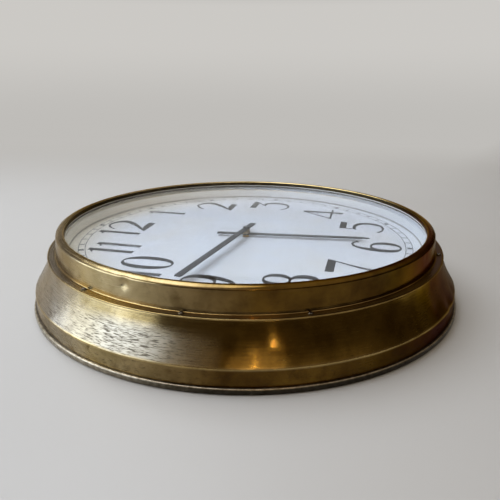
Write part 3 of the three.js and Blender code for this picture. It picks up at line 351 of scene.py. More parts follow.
def uneven(grid, wave, dents=()):
    """Moves points along their radius by waves round the axis, from 600 mm down to 32 mm long and of about
    the given height, and by dents, each [azimuth in degrees, z, width, depth], as
    depth * exp(-(distance / width) squared)."""
    a = np.arctan2(grid[..., 1], grid[..., 0])
    r, z = np.hypot(grid[..., 0], grid[..., 1]), grid[..., 2]
    shift = wave * (0.5 * np.sin(3 * a + 0.7) + 0.3 * np.sin(7 * a + z / 9) + 0.2 * np.sin(13 * a - z / 6)
                    + 0.22 * np.sin(41 * a + z / 5 + 2 * np.sin(5 * a)) + 0.2 * np.sin(57 * a - z / 7))
    for azimuth, level, width, depth in dents:
        sweep = np.angle(np.exp(1j * (a - math.radians(azimuth)))) * r
        shift = shift - depth * np.exp(-(sweep ** 2 + (z - level) ** 2) / width ** 2)
    scale = (r + shift) / r
    return np.stack([grid[..., 0] * scale, grid[..., 1] * scale, z], -1)


def rubbed_and_highlit(profile, edges, width, sides):
    """1 on each [radius, z] edge of the profile, rubbed and with a painted highlight, fading as
    exp(-(distance / width) squared).
    """
    away = np.linalg.norm(profile[:, None] - np.array(edges)[None], axis=2).min(1)
    return np.repeat(np.exp(-(away / width) ** 2), sides)


def spun(name, profile, edges, node, wave, dents, sides):
    """A turned brass piece with its turned attribute and one for its rubbed edges with their painted
    highlight.
    """
    grid = uneven(turn(profile, sides), wave, dents)
    flat = grid.reshape(-1, 3)
    turned = np.stack([flat[:, 0], flat[:, 1], along(profile, sides)], -1) * MM
    return piece(name, [(grid, True, True)], brass, "case", "case_brass", node,
                 turned=turned, worn=rubbed_and_highlit(profile, edges, 0.9, sides))


# %% The case
BAND, SHOULDER, FOOT_Z, RIDGE_Z, SHOULDER_Z, SHEET = 301.2, 279.6, 2.3, 27.6, 71.0, 1.5
LEDGE, LEDGE_Z, SINK, FLANGE, HOLLOW = 245.6, 69.1, 269.2, 283.2, 2.0

rise = np.linspace(0, 1, 13)[1:-1]
skirt = np.stack([BAND - (BAND - SHOULDER) * rise - 4 * HOLLOW * rise * (1 - rise),
                  RIDGE_Z + (SHOULDER_Z - RIDGE_Z) * rise, np.full_like(rise, 0.1)], -1)
inner_skirt = skirt[::-1] - [SHEET, 0, 0]
case_profile = filleted([
    [FLANGE, FOOT_Z, 0.2], [BAND, FOOT_Z, 0.8], [BAND, RIDGE_Z, 1.0], *skirt, [SHOULDER, SHOULDER_Z, 0.9],
    [SINK, SHOULDER_Z, 0.3], [SINK, LEDGE_Z, 0.3], [LEDGE, LEDGE_Z, 0.2], [LEDGE, LEDGE_Z - SHEET, 0.2],
    [SINK + SHEET, LEDGE_Z - SHEET, 0.3], [SINK + SHEET, SHOULDER_Z - SHEET, 0.3],
    [SHOULDER - SHEET, SHOULDER_Z - SHEET, 0.4], *inner_skirt, [BAND - SHEET, RIDGE_Z, 0.4],
    [BAND - SHEET, FOOT_Z + SHEET, 0.3], [FLANGE, FOOT_Z + SHEET, 0.2]])
CASE_DENTS = [[160, 42, 14, 0.7], [216, 45, 20, 0.8], [237, 40, 12, 0.7], [246, 37, 10, 1.1],
              [253, 32, 9, 1.6], [261, 35, 8, 1.2], [120, 50, 16, 0.6], [40, 46, 18, 0.7],
              [300, 52, 14, 0.6], [185, 60, 18, 0.4]]
# The ridge and shoulder edges are rubbed bright: partly wear, partly a painted highlight
case = spun("case_shell", case_profile, [[BAND, RIDGE_Z], [SHOULDER, SHOULDER_Z]], "case_body", 0.25,
            CASE_DENTS, 432)
print("case:", len(case_profile), "points in the profile,", len(case.data.polygons), "faces")

# %% [markdown]
# ## The bezel
# A heavier spun ring: a foot flange that takes the screws and overhangs the skirt by a hair, an almost
# upright wall and a broad domed rim that hides the edge of the glass. It is made as the case is. The dome is
# a quarter of an oval that is highest near its well-rounded inner edge, and one dent between 9 and 10 o'clock
# has been knocked in by something hard.

# %% The bezel
FLANGE_OUT, FLANGE_Z, FLANGE_TOP, WALL_FOOT = 281.4, 71.2, 72.9, 270.7
RIM_OUT, RIM_DROP, RIM_TOP, RIM_EDGE, LIP, LIP_Z = 268.4, 4.6, 102.9, 2.8, 257.0, 94.8


def quarter(across, up, middle, start, end, count):
    """Points of an oval about a middle [radius, z]: across * cos t and up * sin t, t from start to end."""
    t = np.linspace(start, end, count)
    return np.stack([middle[0] + across * np.cos(t), middle[1] + up * np.sin(t), np.full(count, 0.04)], -1)


dome = quarter(RIM_OUT - LIP - RIM_EDGE, RIM_DROP, (LIP + RIM_EDGE, RIM_TOP - RIM_DROP), 0, math.pi / 2, 15)
edge = quarter(RIM_EDGE, RIM_EDGE, (LIP + RIM_EDGE, RIM_TOP - RIM_EDGE), math.pi / 2, math.pi, 9)[1:]
bezel_profile = filleted([
    [FLANGE_OUT, FLANGE_Z, 0.3], [FLANGE_OUT, FLANGE_TOP, 0.6], [WALL_FOOT, FLANGE_TOP, 0.9], *dome, *edge,
    [LIP, LIP_Z, 0.3], [LIP + SHEET, LIP_Z, 0.3], [LIP + SHEET, RIM_TOP - RIM_EDGE - SHEET, 0.3],
    [RIM_OUT - SHEET, RIM_TOP - RIM_DROP, 0.6], [WALL_FOOT - SHEET, FLANGE_TOP, 0.3],
    [WALL_FOOT - SHEET, FLANGE_Z, 0.3]])
# Rubbed bright: the flange edge, the hollow at the wall's foot and the rim, partly wear, partly painted
# highlight
RUBBED_AND_HIGHLIT_EDGES = [[FLANGE_OUT, FLANGE_TOP], [WALL_FOOT, FLANGE_TOP], [LIP + 0.8, RIM_TOP]]
BEZEL_DENTS = [[165, 92.5, 6.0, 2.4], [168, 84, 9, 0.5], [248.7, 94, 5, 0.5], [70, 86, 8, 0.5]]
bezel = spun("bezel_ring", bezel_profile, RUBBED_AND_HIGHLIT_EDGES, "bezel", 0.15, BEZEL_DENTS, 720)
print("bezel:", len(bezel_profile), "points in the profile,", len(bezel.data.polygons), "faces")

# %% [markdown]
# ## Plain metals and coats
# The rest of the clock needs ordinary finishes: plated and rolled steel, grained brass, paint, plastic and
# rubber. They differ in colour, in gloss and in the size of their grain, and not in how they are built, so
# two functions cover them. A metal mixes its colour with a darker shade along a stretched grain. A coat
# mixes them in soft clouds, with a finer grain in its bump.

# %% Materials: metals and coats


def metal(name, colour, shade, rough, grain_mm, stretch=(1, 1, 1), painted_shade_mm=0.0):
    """A bare or plated metal: noise of the given grain, longer where stretch is below 1, sets its tone and
    gloss. Below a given height it is painted dark with shade, most of all towards 7 o'clock."""
    material, tree, shader = new_material(name)
    place = add(tree, "VectorMath", {0: add(tree, "TexCoord").outputs["Object"], 1: stretch},
                operation="MULTIPLY").outputs[0]
    grain = add(tree, "TexNoise", {"Vector": place, "Scale": 1 / (grain_mm * MM), "Detail": 3.0}).outputs[0]
    stain = add(tree, "TexNoise", {"Vector": place, "Scale": 1 / (9 * grain_mm * MM),
                                   "Detail": 4.0}).outputs[0]
    share = add(tree, "MapRange", {0: stain, 1: 0.35, 2: 0.7}).outputs[0]
    tone = add(tree, "Mix", {0: share, 6: linear(colour), 7: linear(shade)}, data_type="RGBA").outputs[2]
    # Painted shade: dark below the given height, most towards 7 o'clock
    if painted_shade_mm:
        height = add(tree, "SeparateXYZ", {0: place}).outputs["Z"]
        to_7 = add(tree, "VectorMath", {0: place, 1: TOWARDS_7}, operation="DOT_PRODUCT").outputs["Value"]
        most = add(tree, "MapRange", {0: to_7, 1: 0.02, 2: 0.2, 3: 0.2, 4: 0.93}).outputs[0]
        darkening = add(tree, "MapRange", {0: height, 1: painted_shade_mm * MM, 2: 0.75 * painted_shade_mm * MM,
                                      4: most}).outputs[0]
        tone = add(tree, "Mix", {0: darkening, 6: tone, 7: linear("15110c")}, data_type="RGBA").outputs[2]
    gloss = add(tree, "MapRange", {0: grain, 1: 0.3, 2: 0.7, 3: rough - 0.07, 4: rough + 0.1}).outputs[0]
    bump = add(tree, "Bump", {"Strength": 0.12, "Distance": grain_mm * MM * 0.3, "Height": grain}).outputs[0]
    for key, value in {"Base Color": tone, "Roughness": gloss, "Normal": bump}.items():
        tree.links.new(value, shader.inputs[key])
    shader.inputs["Metallic"].default_value = 1.0
    return material


def coat(name, colour, shade, rough, cloud_mm, grain_mm, ior=1.5, bump_share=0.1):
    """A paint, plastic or rubber: clouds mix two tones, and a fine grain roughens the skin."""
    material, tree, shader = new_material(name)
    place = add(tree, "TexCoord").outputs["Object"]
    cloud = add(tree, "TexNoise", {"Vector": place, "Scale": 1 / (cloud_mm * MM), "Detail": 4.0}).outputs[0]
    grain = add(tree, "TexNoise", {"Vector": place, "Scale": 1 / (grain_mm * MM), "Detail": 2.0}).outputs[0]
    share = add(tree, "MapRange", {0: cloud, 1: 0.4, 2: 0.75}).outputs[0]
    tone = add(tree, "Mix", {0: share, 6: linear(colour), 7: linear(shade)}, data_type="RGBA").outputs[2]
    gloss = add(tree, "MapRange", {0: cloud, 1: 0.3, 2: 0.7, 3: rough - 0.05, 4: rough + 0.08}).outputs[0]
    bump = add(tree, "Bump", {"Strength": bump_share, "Distance": grain_mm * MM * 0.3,
                              "Height": grain}).outputs[0]
    for key, value in {"Base Color": tone, "Roughness": gloss, "Normal": bump}.items():
        tree.links.new(value, shader.inputs[key])
    shader.inputs["IOR"].default_value = ior
    return material


# Rolled steel is dull and a little brown; the bead is pale above and painted dark with shade below
rolled_steel = metal("rolled_steel_dull", "857d72", "4b443b", 0.42, 0.8)
bead_steel = metal("rolled_steel_floor_worn", "d2c5ab", "94866e", 0.3, 0.5, painted_shade_mm=7.3)
# Zinc plate is a pale, even grey with a soft sheen
plated_steel = metal("zinc_plated_steel", "b4b4b0", "8c8b86", 0.34, 0.8)
# Brass screws gone nearly black, under a film of old lacquer that gives their heads a glint
old_screw = metal("blackened_brass_screw", "55472f", "231b12", 0.2, 0.9)
old_screw.node_tree.nodes["Principled BSDF"].inputs["Coat Weight"].default_value = 0.8
# Sheet brass grained with emery has pale streaks along x, and the turned collets are dull and greyish
grained_brass = metal("straight_grained_brass", "c19d58", "8e6f38", 0.36, 0.6, (0.05, 1, 1))
turned_brass = metal("turned_brass_dull", "a89a80", "7d6f55", 0.4, 0.6)
# A drawn can with zinc on it is flat and grey; satin paint is nearly black with a broad soft highlight
motor_zinc = metal("drawn_zinc_can", "a3a5a4", "7f8180", 0.4, 1.0)
hand_paint = coat("satin_grey_hand_paint", "2b2f31", "222628", 0.42, 14, 0.5)
print("plain finishes:", len(bpy.data.materials), "materials so far")

# %% [markdown]
# ## Screws in the bezel
# Eight small round-headed screws hold the bezel to the case, in threes at the 3 and 9 o'clock sides and
# singly at 12 and 6. Their slots point anywhere, as a hand left them. A head is a flat dome, turned like the
# case, and the slot presses its middle strip down to one level. That is enough at this size, and it keeps
# each screw one closed skin.

# %% The bezel screws
SCREW_CIRCLE, SCREW, HEAD, SEAT_Z, HEAD_RISE = 275.0, 1.7, 3.2, 73.2, 1.9
SCREW_END, HEAD_EDGE, SLOT_HALF, SLOT_DEPTH, CORE = 66.5, 0.35, 0.45, 1.0, 0.02
SCREW_BEARINGS = [0, 62, 90, 118, 184, 242, 270, 298]


def slotted_screw(slot_angle):
    """Head z = seat + edge + (rise - edge) * (1 - (r / head) cubed) above a shank, cut to the slot's floor
    where the distance across the slot is under half its width."""
    r = np.linspace(HEAD, CORE, 14)
    dome = np.stack([r, SEAT_Z + HEAD_EDGE + (HEAD_RISE - HEAD_EDGE) * (1 - (r / HEAD) ** 3)], -1)
    shank = np.array([[CORE, SCREW_END], [SCREW, SCREW_END], [SCREW, SEAT_Z], [HEAD, SEAT_Z]])
    grid = turn(np.concatenate([shank, dome]), 40)
    slot_way = np.abs(grid[..., 0] * math.sin(slot_angle) - grid[..., 1] * math.cos(slot_angle))
    floor = np.where(slot_way < SLOT_HALF, SEAT_Z + HEAD_RISE - SLOT_DEPTH, np.inf)
    grid[len(shank):, :, 2] = np.minimum(grid[len(shank):, :, 2], floor[len(shank):])
    return grid


for number, degrees in enumerate(SCREW_BEARINGS, 1):
    bearing = math.radians(degrees)
    centre = SCREW_CIRCLE * np.array([math.sin(bearing), math.cos(bearing), 0])
    grid = slotted_screw(2.4 * number ** 1.7) + centre
    piece(f"bezel_screw_head_{number}", [(grid, False, True)], old_screw, "case", "dark_brass_screw",
          f"bezel_screw_{number}", sharp=50)
print("screws:", len(SCREW_BEARINGS), "heads of", 2 * HEAD, "mm on a circle of", 2 * SCREW_CIRCLE, "mm")

# %% [markdown]
# ## The rolled edge of the steel back
# The back is a steel plate with its edge rolled over: it shows as the grey bead under the brass, painted dark
# with shade near the floor, most of all towards 7 o'clock. The flat of the plate, with its keyhole and screw
# holes, is already right in the frame, and only its edge has corners. So a smooth bead goes over that edge, a
# hair outside it.

# %% The bead
BEAD_OUT, BEAD_IN, BEAD_HIGH = 305.15, 301.7, 7.1

swing = np.linspace(0, 2 * math.pi, 28, endpoint=False)
round_about = np.stack([np.cos(swing), np.sin(swing)], -1)
squared_off = np.sign(round_about) * np.abs(round_about) ** 0.8
bead_middle = np.array([BEAD_OUT + BEAD_IN, BEAD_HIGH]) / 2
bead_half = np.array([BEAD_OUT - BEAD_IN, BEAD_HIGH]) / 2
bead_profile = bead_middle + squared_off * bead_half
bead = piece("back_bead", [(uneven(turn(bead_profile), 0.1), True, True)], bead_steel, "case", "back_steel")
print("bead:", len(bead.data.polygons), "faces, outside", 2 * BEAD_OUT, "mm")

# %% [markdown]
# ## White enamel, ink and glass
# The dial and the ring round it are steel with a baked white enamel, flecked and yellowed towards the edge.
# The cream is stronger on the 12 o'clock side, where it is painted shade, and a line of painted shade lies in
# the corner where the ring meets the dial. One material does both: ramps on the distance from the middle and
# on y and z, in Object coordinates, give the yellowing, the painted shade and the shade line, and two noises
# the clouds and flecks. The ink is a thick screen print, worn grey.
# The glass is ordinary float glass. A shadow ray sees it as clear, because real light reaches a dial through
# its glass, and following it there by chance alone leaves a noisy picture.

# %% Materials: enamel, ink, glass


def baked_enamel():
    """White enamel: cream towards the edge, more on the 12 o'clock side as painted shade; clouds of 70 mm,
    flecks of 4 mm, and painted shade where the ring meets the dial.
    """
    material, tree, shader = new_material("baked_white_enamel")
    place = add(tree, "TexCoord").outputs["Object"]
    flat = add(tree, "VectorMath", {0: place, 1: (1, 1, 0)}, operation="MULTIPLY").outputs[0]
    radius = add(tree, "VectorMath", {0: flat}, operation="LENGTH").outputs["Value"]
    parts = add(tree, "SeparateXYZ", {0: place})
    # The cream at the edge is stronger on the 12 o'clock side, where it is painted shade
    side = add(tree, "MapRange", {0: parts.outputs["Y"], 1: 0.0, 2: 0.22, 3: 0.12, 4: 0.95}).outputs[0]
    edge = add(tree, "MapRange", {0: radius, 1: 0.18, 2: 0.25, 4: side}).outputs[0]
    cloud = add(tree, "TexNoise", {"Vector": place, "Scale": 14.0, "Detail": 5.0,
                                   "Roughness": 0.6}).outputs[0]
    age = add(tree, "MapRange", {0: cloud, 1: 0.42, 2: 0.72, 4: 0.3}).outputs[0]
    yellowing_and_shade = add(tree, "Math", {0: edge, 1: age}, operation="MAXIMUM").outputs[0]
    white = add(tree, "Mix", {0: yellowing_and_shade, 6: linear("dfe4ea"), 7: linear("d9d0b9")},
                data_type="RGBA").outputs[2]
    fleck = add(tree, "TexNoise", {"Vector": place, "Scale": 260.0, "Detail": 2.0}).outputs[0]
    spots = add(tree, "MapRange", {0: fleck, 1: 0.72, 2: 0.8, 4: 0.35}).outputs[0]
    # A line of painted shade in the corner where the ring meets the dial, mixed with the flecks
    ring = add(tree, "MapRange", {0: radius, 1: 0.2535, 2: 0.2543, 4: 0.6}).outputs[0]
    foot = add(tree, "MapRange", {0: parts.outputs["Z"], 1: 0.0732, 2: 0.0724, 4: ring}).outputs[0]
    darkening = add(tree, "Math", {0: spots, 1: foot}, operation="MAXIMUM").outputs[0]
    colour = add(tree, "Mix", {0: darkening, 6: white, 7: linear("6f685b")}, data_type="RGBA").outputs[2]
    gloss = add(tree, "MapRange", {0: cloud, 1: 0.3, 2: 0.7, 3: 0.14, 4: 0.26}).outputs[0]
    for key, value in {"Base Color": colour, "Roughness": gloss}.items():
        tree.links.new(value, shader.inputs[key])
    return material


def float_glass():
    """Clear glass, IOR 1.52, wiped in soft smears of 40 mm that roughen it a little."""
    material, tree, shader = new_material("float_glass_wiped")
    place = add(tree, "TexCoord").outputs["Object"]
    smear = add(tree, "TexNoise", {"Vector": place, "Scale": 25.0, "Detail": 3.0,
                                   "Distortion": 1.2}).outputs[0]
    gloss = add(tree, "MapRange", {0: smear, 1: 0.4, 2: 0.75, 3: 0.01, 4: 0.06}).outputs[0]
    tree.links.new(gloss, shader.inputs["Roughness"])
    shader.inputs["Base Color"].default_value = linear("f7f8f9")
    shader.inputs["Transmission Weight"].default_value = 1.0
    shader.inputs["IOR"].default_value = 1.52
    clear = add(tree, "BsdfTransparent", {"Color": linear("f7f8f9")}).outputs[0]
    shadow = add(tree, "LightPath").outputs["Is Shadow Ray"]
    both = add(tree, "MixShader", {0: shadow, 1: shader.outputs[0], 2: clear}).outputs[0]
    tree.links.new(both, tree.nodes["Material Output"].inputs["Surface"])
    return material


enamel = baked_enamel()
glass = float_glass()
# Screen ink is satin, and black worn to dark grey in patches
ink = coat("worn_screen_ink", "17191b", "26282a", 0.5, 9, 0.4)
print("enamel, glass and ink:", [m.name for m in (enamel, glass, ink)])

# %% [markdown]
# ## The reflector ring
# A white ring leans from the dial up to the glass and throws light onto the numerals. In the frame it has
# flat sides. It is turned again here with a fine step and a small round on its inner edges.

# %% The reflector ring
RING_IN, RING_THICK, RING_LEAN, RING_LOW, RING_HIGH = 254.4, 3.3, 3.6, 70.9, 89.6

reflector_profile = filleted([
    [RING_IN, RING_LOW, 0.3], [RING_IN + RING_THICK, RING_LOW, 0.3],
    [RING_IN + RING_THICK + RING_LEAN, RING_HIGH, 0.3], [RING_IN + RING_LEAN, RING_HIGH, 0.5]])
piece("reflector_band", [(turn(reflector_profile), True, True)], enamel, "case", "white_enamel",
      "reflector_ring")
print("reflector:", len(reflector_profile), "points in the profile")

# %% [markdown]
# ## Numerals and minute track
# The hours are upright Arabic figures, 70 mm high, with thick and thin strokes and square flags. A font
# could be used, but the file would then depend on it, and no common font has these flags. Each figure is
# built from three kinds of mark, all of them flat strips between two edges: a stroke follows a smooth line
# with a width that swells and thins, a hoop runs between two ovals, and a flag lies between a lower and an
# upper edge. A strip is then given the thickness of a coat of ink.

# %% Marks: stroke, hoop, flag
DIAL_TOP, INK = 70.6, 0.12


def smooth_line(values, count):
    """Catmull-Rom: from knot b to c, with a before and d after,
    p(t) = (2b + (c - a) t + (2a - 5b + 4c - d) t^2 + (3b - a - 3c + d) t^3) / 2."""
    k = np.array(values, float)
    k = np.concatenate([[2 * k[0] - k[1]], k, [2 * k[-1] - k[-2]]])
    t = np.linspace(0, 1, count, endpoint=False)[:, None, None]
    a, b, c, d = k[None, :-3], k[None, 1:-2], k[None, 2:-1], k[None, 3:]
    cubic = 0.5 * (2 * b + (c - a) * t + (2 * a - 5 * b + 4 * c - d) * t ** 2
                   + (3 * b - a - 3 * c + d) * t ** 3)
    return np.concatenate([cubic.transpose(1, 0, 2).reshape(-1, k.shape[1]), k[-2:-1]])


def stroke(*knots):
    """Edges at half the width to the left and right of a smooth line through [x, y, width] knots."""
    line = smooth_line(knots, 10 if len(knots) > 2 else 1)
    way = np.gradient(line[:, :2], axis=0)
    side = np.stack([-way[:, 1], way[:, 0]], -1) / np.linalg.norm(way, axis=1)[:, None] * line[:, 2:] / 2
    return np.stack([line[:, :2] - side, line[:, :2] + side], 1), False


def hoop(x, y, half_width, half_height, sides, ends):
    """Between the oval |x/a|^2.2 + |y/b|^2.2 = 1 and one that is smaller by sides across and by ends up."""
    a = np.linspace(0, 2 * math.pi, 64, endpoint=False)
    c, s = np.cos(a), np.sin(a)
    oval = np.stack([np.sign(c) * np.abs(c) ** 0.91, np.sign(s) * np.abs(s) ** 0.91], -1)
    outer = oval * [half_width, half_height]
    inner = oval * [half_width - sides, half_height - ends]
    return np.stack([inner, outer], 1) + [x, y], True


def flag(lower, upper):
    """The strip between a lower and an upper edge with as many points each."""
    return np.stack([np.array(lower, float), np.array(upper, float)], 1), False


def inked(mark, x=0.0, y=0.0, half_turn=None):
    """A strip as a thin closed slab on the dial, moved to x, y; half_turn is the point that it is turned
    about first."""
    strip, closed = mark
    if half_turn is not None:
        strip = 2 * np.array(half_turn) - strip
    low, high = DIAL_TOP - 0.02, DIAL_TOP + INK
    corners = [(strip[:, 0], low), (strip[:, 1], low), (strip[:, 1], high), (strip[:, 0], high)]
    rows = [np.column_stack([edge + [x, y], np.full(len(edge), z)]) for edge, z in corners]
    return np.stack(rows, 1), closed, True


# %% The figures
six = [hoop(21.8, 22, 21.8, 22, 11, 2.8),
       stroke([5.6, 20, 11.2], [6, 36, 11], [10, 52, 9], [16.5, 63.5, 5.6], [25, 68.5, 3.4], [33, 67.4, 4],
              [40, 60.8, 6.6])]
FIGURES = {
    "0": [hoop(22, 35, 22, 35.2, 10.6, 2.6)],
    "1": [stroke([12, 0, 8.8], [12, 66.5, 8.8]), stroke([15, 65, 4.4], [7.5, 60, 3.4], [1.5, 56, 2.4])],
    "2": [stroke([1.5, 50.5, 3.2], [7.5, 60, 3.6], [21, 67.6, 3.8], [36.5, 63, 7.6], [43.2, 51, 10.8],
                 [37.5, 37, 9.2], [24, 21.5, 6.6], [10.5, 8.5, 4.6], [2.4, 0.8, 3.2]),
          flag([[0.5, 0], [9, 0], [18, 0], [30, 0], [46, 0]],
               [[1, 0.8], [9, 5.4], [17, 9.6], [26, 11.2], [47, 11.4]])],
    "3": [flag([[4, 58], [44.5, 58]], [[4.6, 69], [51.5, 69]]), stroke([47.5, 63.5, 3], [24, 44.6, 3]),
          stroke([23.5, 44.4, 3.2], [33, 45.6, 5], [41.6, 40.5, 8.4], [45.8, 27, 10.6], [42, 12, 8.2],
                 [32, 3.4, 4.8], [21, 1.9, 3.2], [10, 5, 3.4], [2.5, 12.5, 5])],
    "4": [stroke([40.6, 0, 8.8], [40.6, 69, 8.8]), stroke([1, 19.3, 3.4], [60, 19.3, 3.4]),
          stroke([39.5, 67, 4.4], [3, 20, 3.6])],
    "5": [flag([[12.7, 58.7], [48, 58.7]], [[12.7, 69.3], [51.5, 69.3]]),
          stroke([14.2, 60, 3], [13, 45.5, 3]),
          stroke([10.5, 43.6, 4], [20, 46.4, 4.6], [34, 44.6, 6.6], [44.4, 36.5, 9.4], [47.6, 25, 10.6],
                 [44, 12, 8.4], [34, 3.8, 5], [22, 1.9, 3.4], [10, 4.2, 3.4], [2, 9.8, 4.6])],
    "6": six,
    "7": [flag([[0.5, 58.7], [41.5, 58.7]], [[0.5, 70], [46.8, 70]]),
          stroke([44.6, 67, 3], [36, 50, 3.4], [27, 33, 4.8], [20, 16, 6.8], [17.4, 0, 8.4])],
    "8": [hoop(23, 52.5, 18.5, 17.5, 9.4, 2.8), hoop(23, 19.2, 22.6, 19.2, 12, 2.8)],
}
PLACES = [("1", -41.3, 159.5), ("2", -15, 159.2), ("1", 86, 133.2), ("2", 138.5, 62.4), ("3", 165, -34),
          ("4", 127.4, -132.8), ("5", 64.8, -202.3), ("6", -25.4, -226.6), ("7", -119, -200.2),
          ("8", -182.6, -130.2), ("1", -192.5, 62), ("0", -165, 61.2), ("1", -122.8, 132.1),
          ("1", -97, 132.1)]
# The 9 is the 6 after half a turn about its middle
NINE_AT, SIX_MIDDLE = (-209.5, -36), (21.8, 35.2)
marks = [inked(mark, x, y) for digit, x, y in PLACES for mark in FIGURES[digit]]
marks += [inked(mark, *NINE_AT, SIX_MIDDLE) for mark in six]
piece("dial_numerals", marks, ink, "case", "hand_paint")
print("numerals:", len(PLACES) + 1, "figures of", len(marks), "marks")

# %% The minute track
TRACK_IN, TRACK_OUT = 232.4, 241.6


def circle(radius, width):
    """A round line: the strip between two circles, 240 points round."""
    a = np.linspace(0, 2 * math.pi, 240, endpoint=False)
    ring = np.stack([np.cos(a), np.sin(a)], -1)
    return np.stack([ring * (radius - width / 2), ring * (radius + width / 2)], 1), True


def tick(minute):
    """A straight mark across the track, square and bold at the hours."""
    a = 2 * math.pi * minute / 60
    way = np.array([math.sin(a), math.cos(a)])
    inset, width = (1.6, 6.6) if minute % 5 == 0 else (0.6, 2.2)
    return stroke([*(way * (TRACK_IN + inset)), width], [*(way * TRACK_OUT), width])


track = [inked(circle(r, 0.9)) for r in (TRACK_IN, TRACK_OUT)] + [inked(tick(m)) for m in range(60)]
piece("dial_minute_track", track, ink, "case", "hand_paint")
print("track:", len(track), "lines between radii", TRACK_IN, "and", TRACK_OUT, "mm")

# %% [markdown]
# ## Hands
# Both hands are flat steel bars with a round hub, painted dark grey. A bar seen from its own middle hides
# none of its outline, so a hand can be one grid: each point of the outline is joined to the point of the bore
# on the same line. Rows go from the bore below, out to the edge, up over a small chamfer and back to the
# bore above. The time is 14 minutes to 6.

# %% The hands


def hand_outline(width, tail, reach, point, tip, hub):
    """Corners of a bar along +Y, going round from the tail: straight sides, a round hub, and a tip of its own
    width."""
    half = width / 2
    meet = math.acos(half / hub)
    bulge = np.linspace(-meet, meet, 16)
    right = np.concatenate([[[half, -tail]], hub * np.stack([np.cos(bulge), np.sin(bulge)], -1),
                            [[half, reach - point], [tip / 2, reach]]])
    left = right[::-1] * [-1, 1]
    return np.concatenate([right, left])


def hand(name, node, body, share, bore, z, outline, chamfer=0.35, thick=1.2):
    """Rows bore, edge, edge, chamfer, bore over an outline turned clockwise by a share of a full turn."""
    before, after = np.roll(outline, 1, 0) - outline, np.roll(outline, -1, 0) - outline
    way = after / np.linalg.norm(after, axis=1)[:, None] - before / np.linalg.norm(before, axis=1)[:, None]
    inwards = np.stack([-way[:, 1], way[:, 0]], -1) / np.linalg.norm(way, axis=1)[:, None]
    hole = outline / np.linalg.norm(outline, axis=1)[:, None] * bore
    rows = [(hole, z), (outline, z), (outline, z + thick - chamfer), (outline + inwards * chamfer, z + thick),
            (hole, z + thick)]
    a = -2 * math.pi * share
    spin = np.array([[math.cos(a), math.sin(a)], [-math.sin(a), math.cos(a)]])
    grid = np.stack([np.column_stack([edge @ spin, np.full(len(edge), level)]) for edge, level in rows])
    return piece(name, [(grid, True, True)], hand_paint, body, "hand_paint", node, sharp=20)


SHOWN = 5 * 60 + 46.4
hand("hour_hand_bar", "hour_hand", "hour_train", SHOWN / 720, bore=5.0, z=74.0,
     outline=hand_outline(width=7.6, tail=43.5, reach=182.9, point=14, tip=0.6, hub=6.5))
hand("minute_hand_bar", "minute_hand", "minute_train", SHOWN % 60 / 60, bore=3.6, z=82.0,
     outline=hand_outline(width=9.2, tail=29.5, reach=208.5, point=2, tip=7.4, hub=5.1))
hub_profiles = {"hour_collet": [[5.0, 75.5, 0.1], [6.3, 75.5, 0.3], [6.3, 77.9, 0.2], [5.0, 77.9, 0.1]],
                "minute_collet": [[3.6, 78.3, 0.1], [6.3, 78.3, 0.2], [6.3, 81.7, 0.3], [3.6, 81.7, 0.1]]}
for node, corners in hub_profiles.items():
    body = node.split("_")[0] + "_train"
    piece(node + "_turned", [(turn(filleted(corners), 64), True, True)], turned_brass, body,
          "movement_brass", node)
print("hands: shown at", int(SHOWN // 60), "hours", round(SHOWN % 60, 1), "minutes")

# %% [markdown]
# ## What stays from the frame
# The movement, the battery, the hanger and the flat of the back keep their shapes from the frame: their
# edges are true and most are out of sight. They still get a finish each, chosen by the start of their names.
# The clock is complete, so it has to look right with the back off.

# %% Finishes of the carried-over pieces
# Moulded rubber is matt, the tray's black plastic has a low sheen, and the sleeve of the cell shines
rubber = coat("black_rubber_moulded", "1d1d1d", "2a2a29", 0.8, 6, 0.4, bump_share=0.2)
tray_plastic = coat("moulded_black_plastic", "242424", "2f2f2f", 0.5, 10, 0.3, ior=1.49, bump_share=0.2)
sleeve = coat("shrink_sleeve_green", "4c5f57", "3c4c45", 0.3, 12, 1.0, ior=1.49)
KEPT = {"back_plate": rolled_steel, "back_screw": plated_steel, "hanger": plated_steel, "glass_seal": rubber,
        "glass": glass, "dial_plate": enamel, "hand_nut": hand_paint, "centre_arbor": plated_steel,
        "centre_wheel": grained_brass, "cannon": grained_brass, "minute_wheel_screw": plated_steel,
        "minute_wheel": grained_brass, "minute_pinion": plated_steel, "hour_wheel": grained_brass,
        "motor_pinion": plated_steel, "motor_screw": plated_steel, "geared_motor": motor_zinc,
        "movement": grained_brass, "pillar_nut": plated_steel, "pillar": grained_brass,
        "battery_tray": tray_plastic, "battery_cell": sleeve, "contact": grained_brass}
shown = [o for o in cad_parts.values() if not o.hide_render]
for node in shown:
    start = max((key for key in KEPT if node.name.startswith(key)), key=len)
    node.data.materials.clear()
    node.data.materials.append(KEPT[start])
print("kept:", len(shown), "nodes with", len(set(KEPT.values())), "finishes")

# %% [markdown]
# ## Studio
# A plain pale floor, with a sheet that curves up from it behind the clock. Far behind the clock the paper
# glows a little, for the eye and for mirrors alike, as a lit backdrop does. Brass shows what is around it
# more than its own colour. A wide low oval box towards 11 o'clock stands for a window and gives the bright
# flank, one overhead lights the dial, two small warm lamps and a dim shade give the glints on the near side,
# and the world stays dim and is paler above, which keeps that side of the case deep and brown. The window's
# image in the glass would hide the dial from some sides, so its light leaves the glass out.

# %% Floor, lamps and world
PAPER_Z, FLOOR_REACH, SWEEP_AT, SWEEP_ROUND, PAPER_HIGH = -0.2, 8000, 2600, 700, 1500

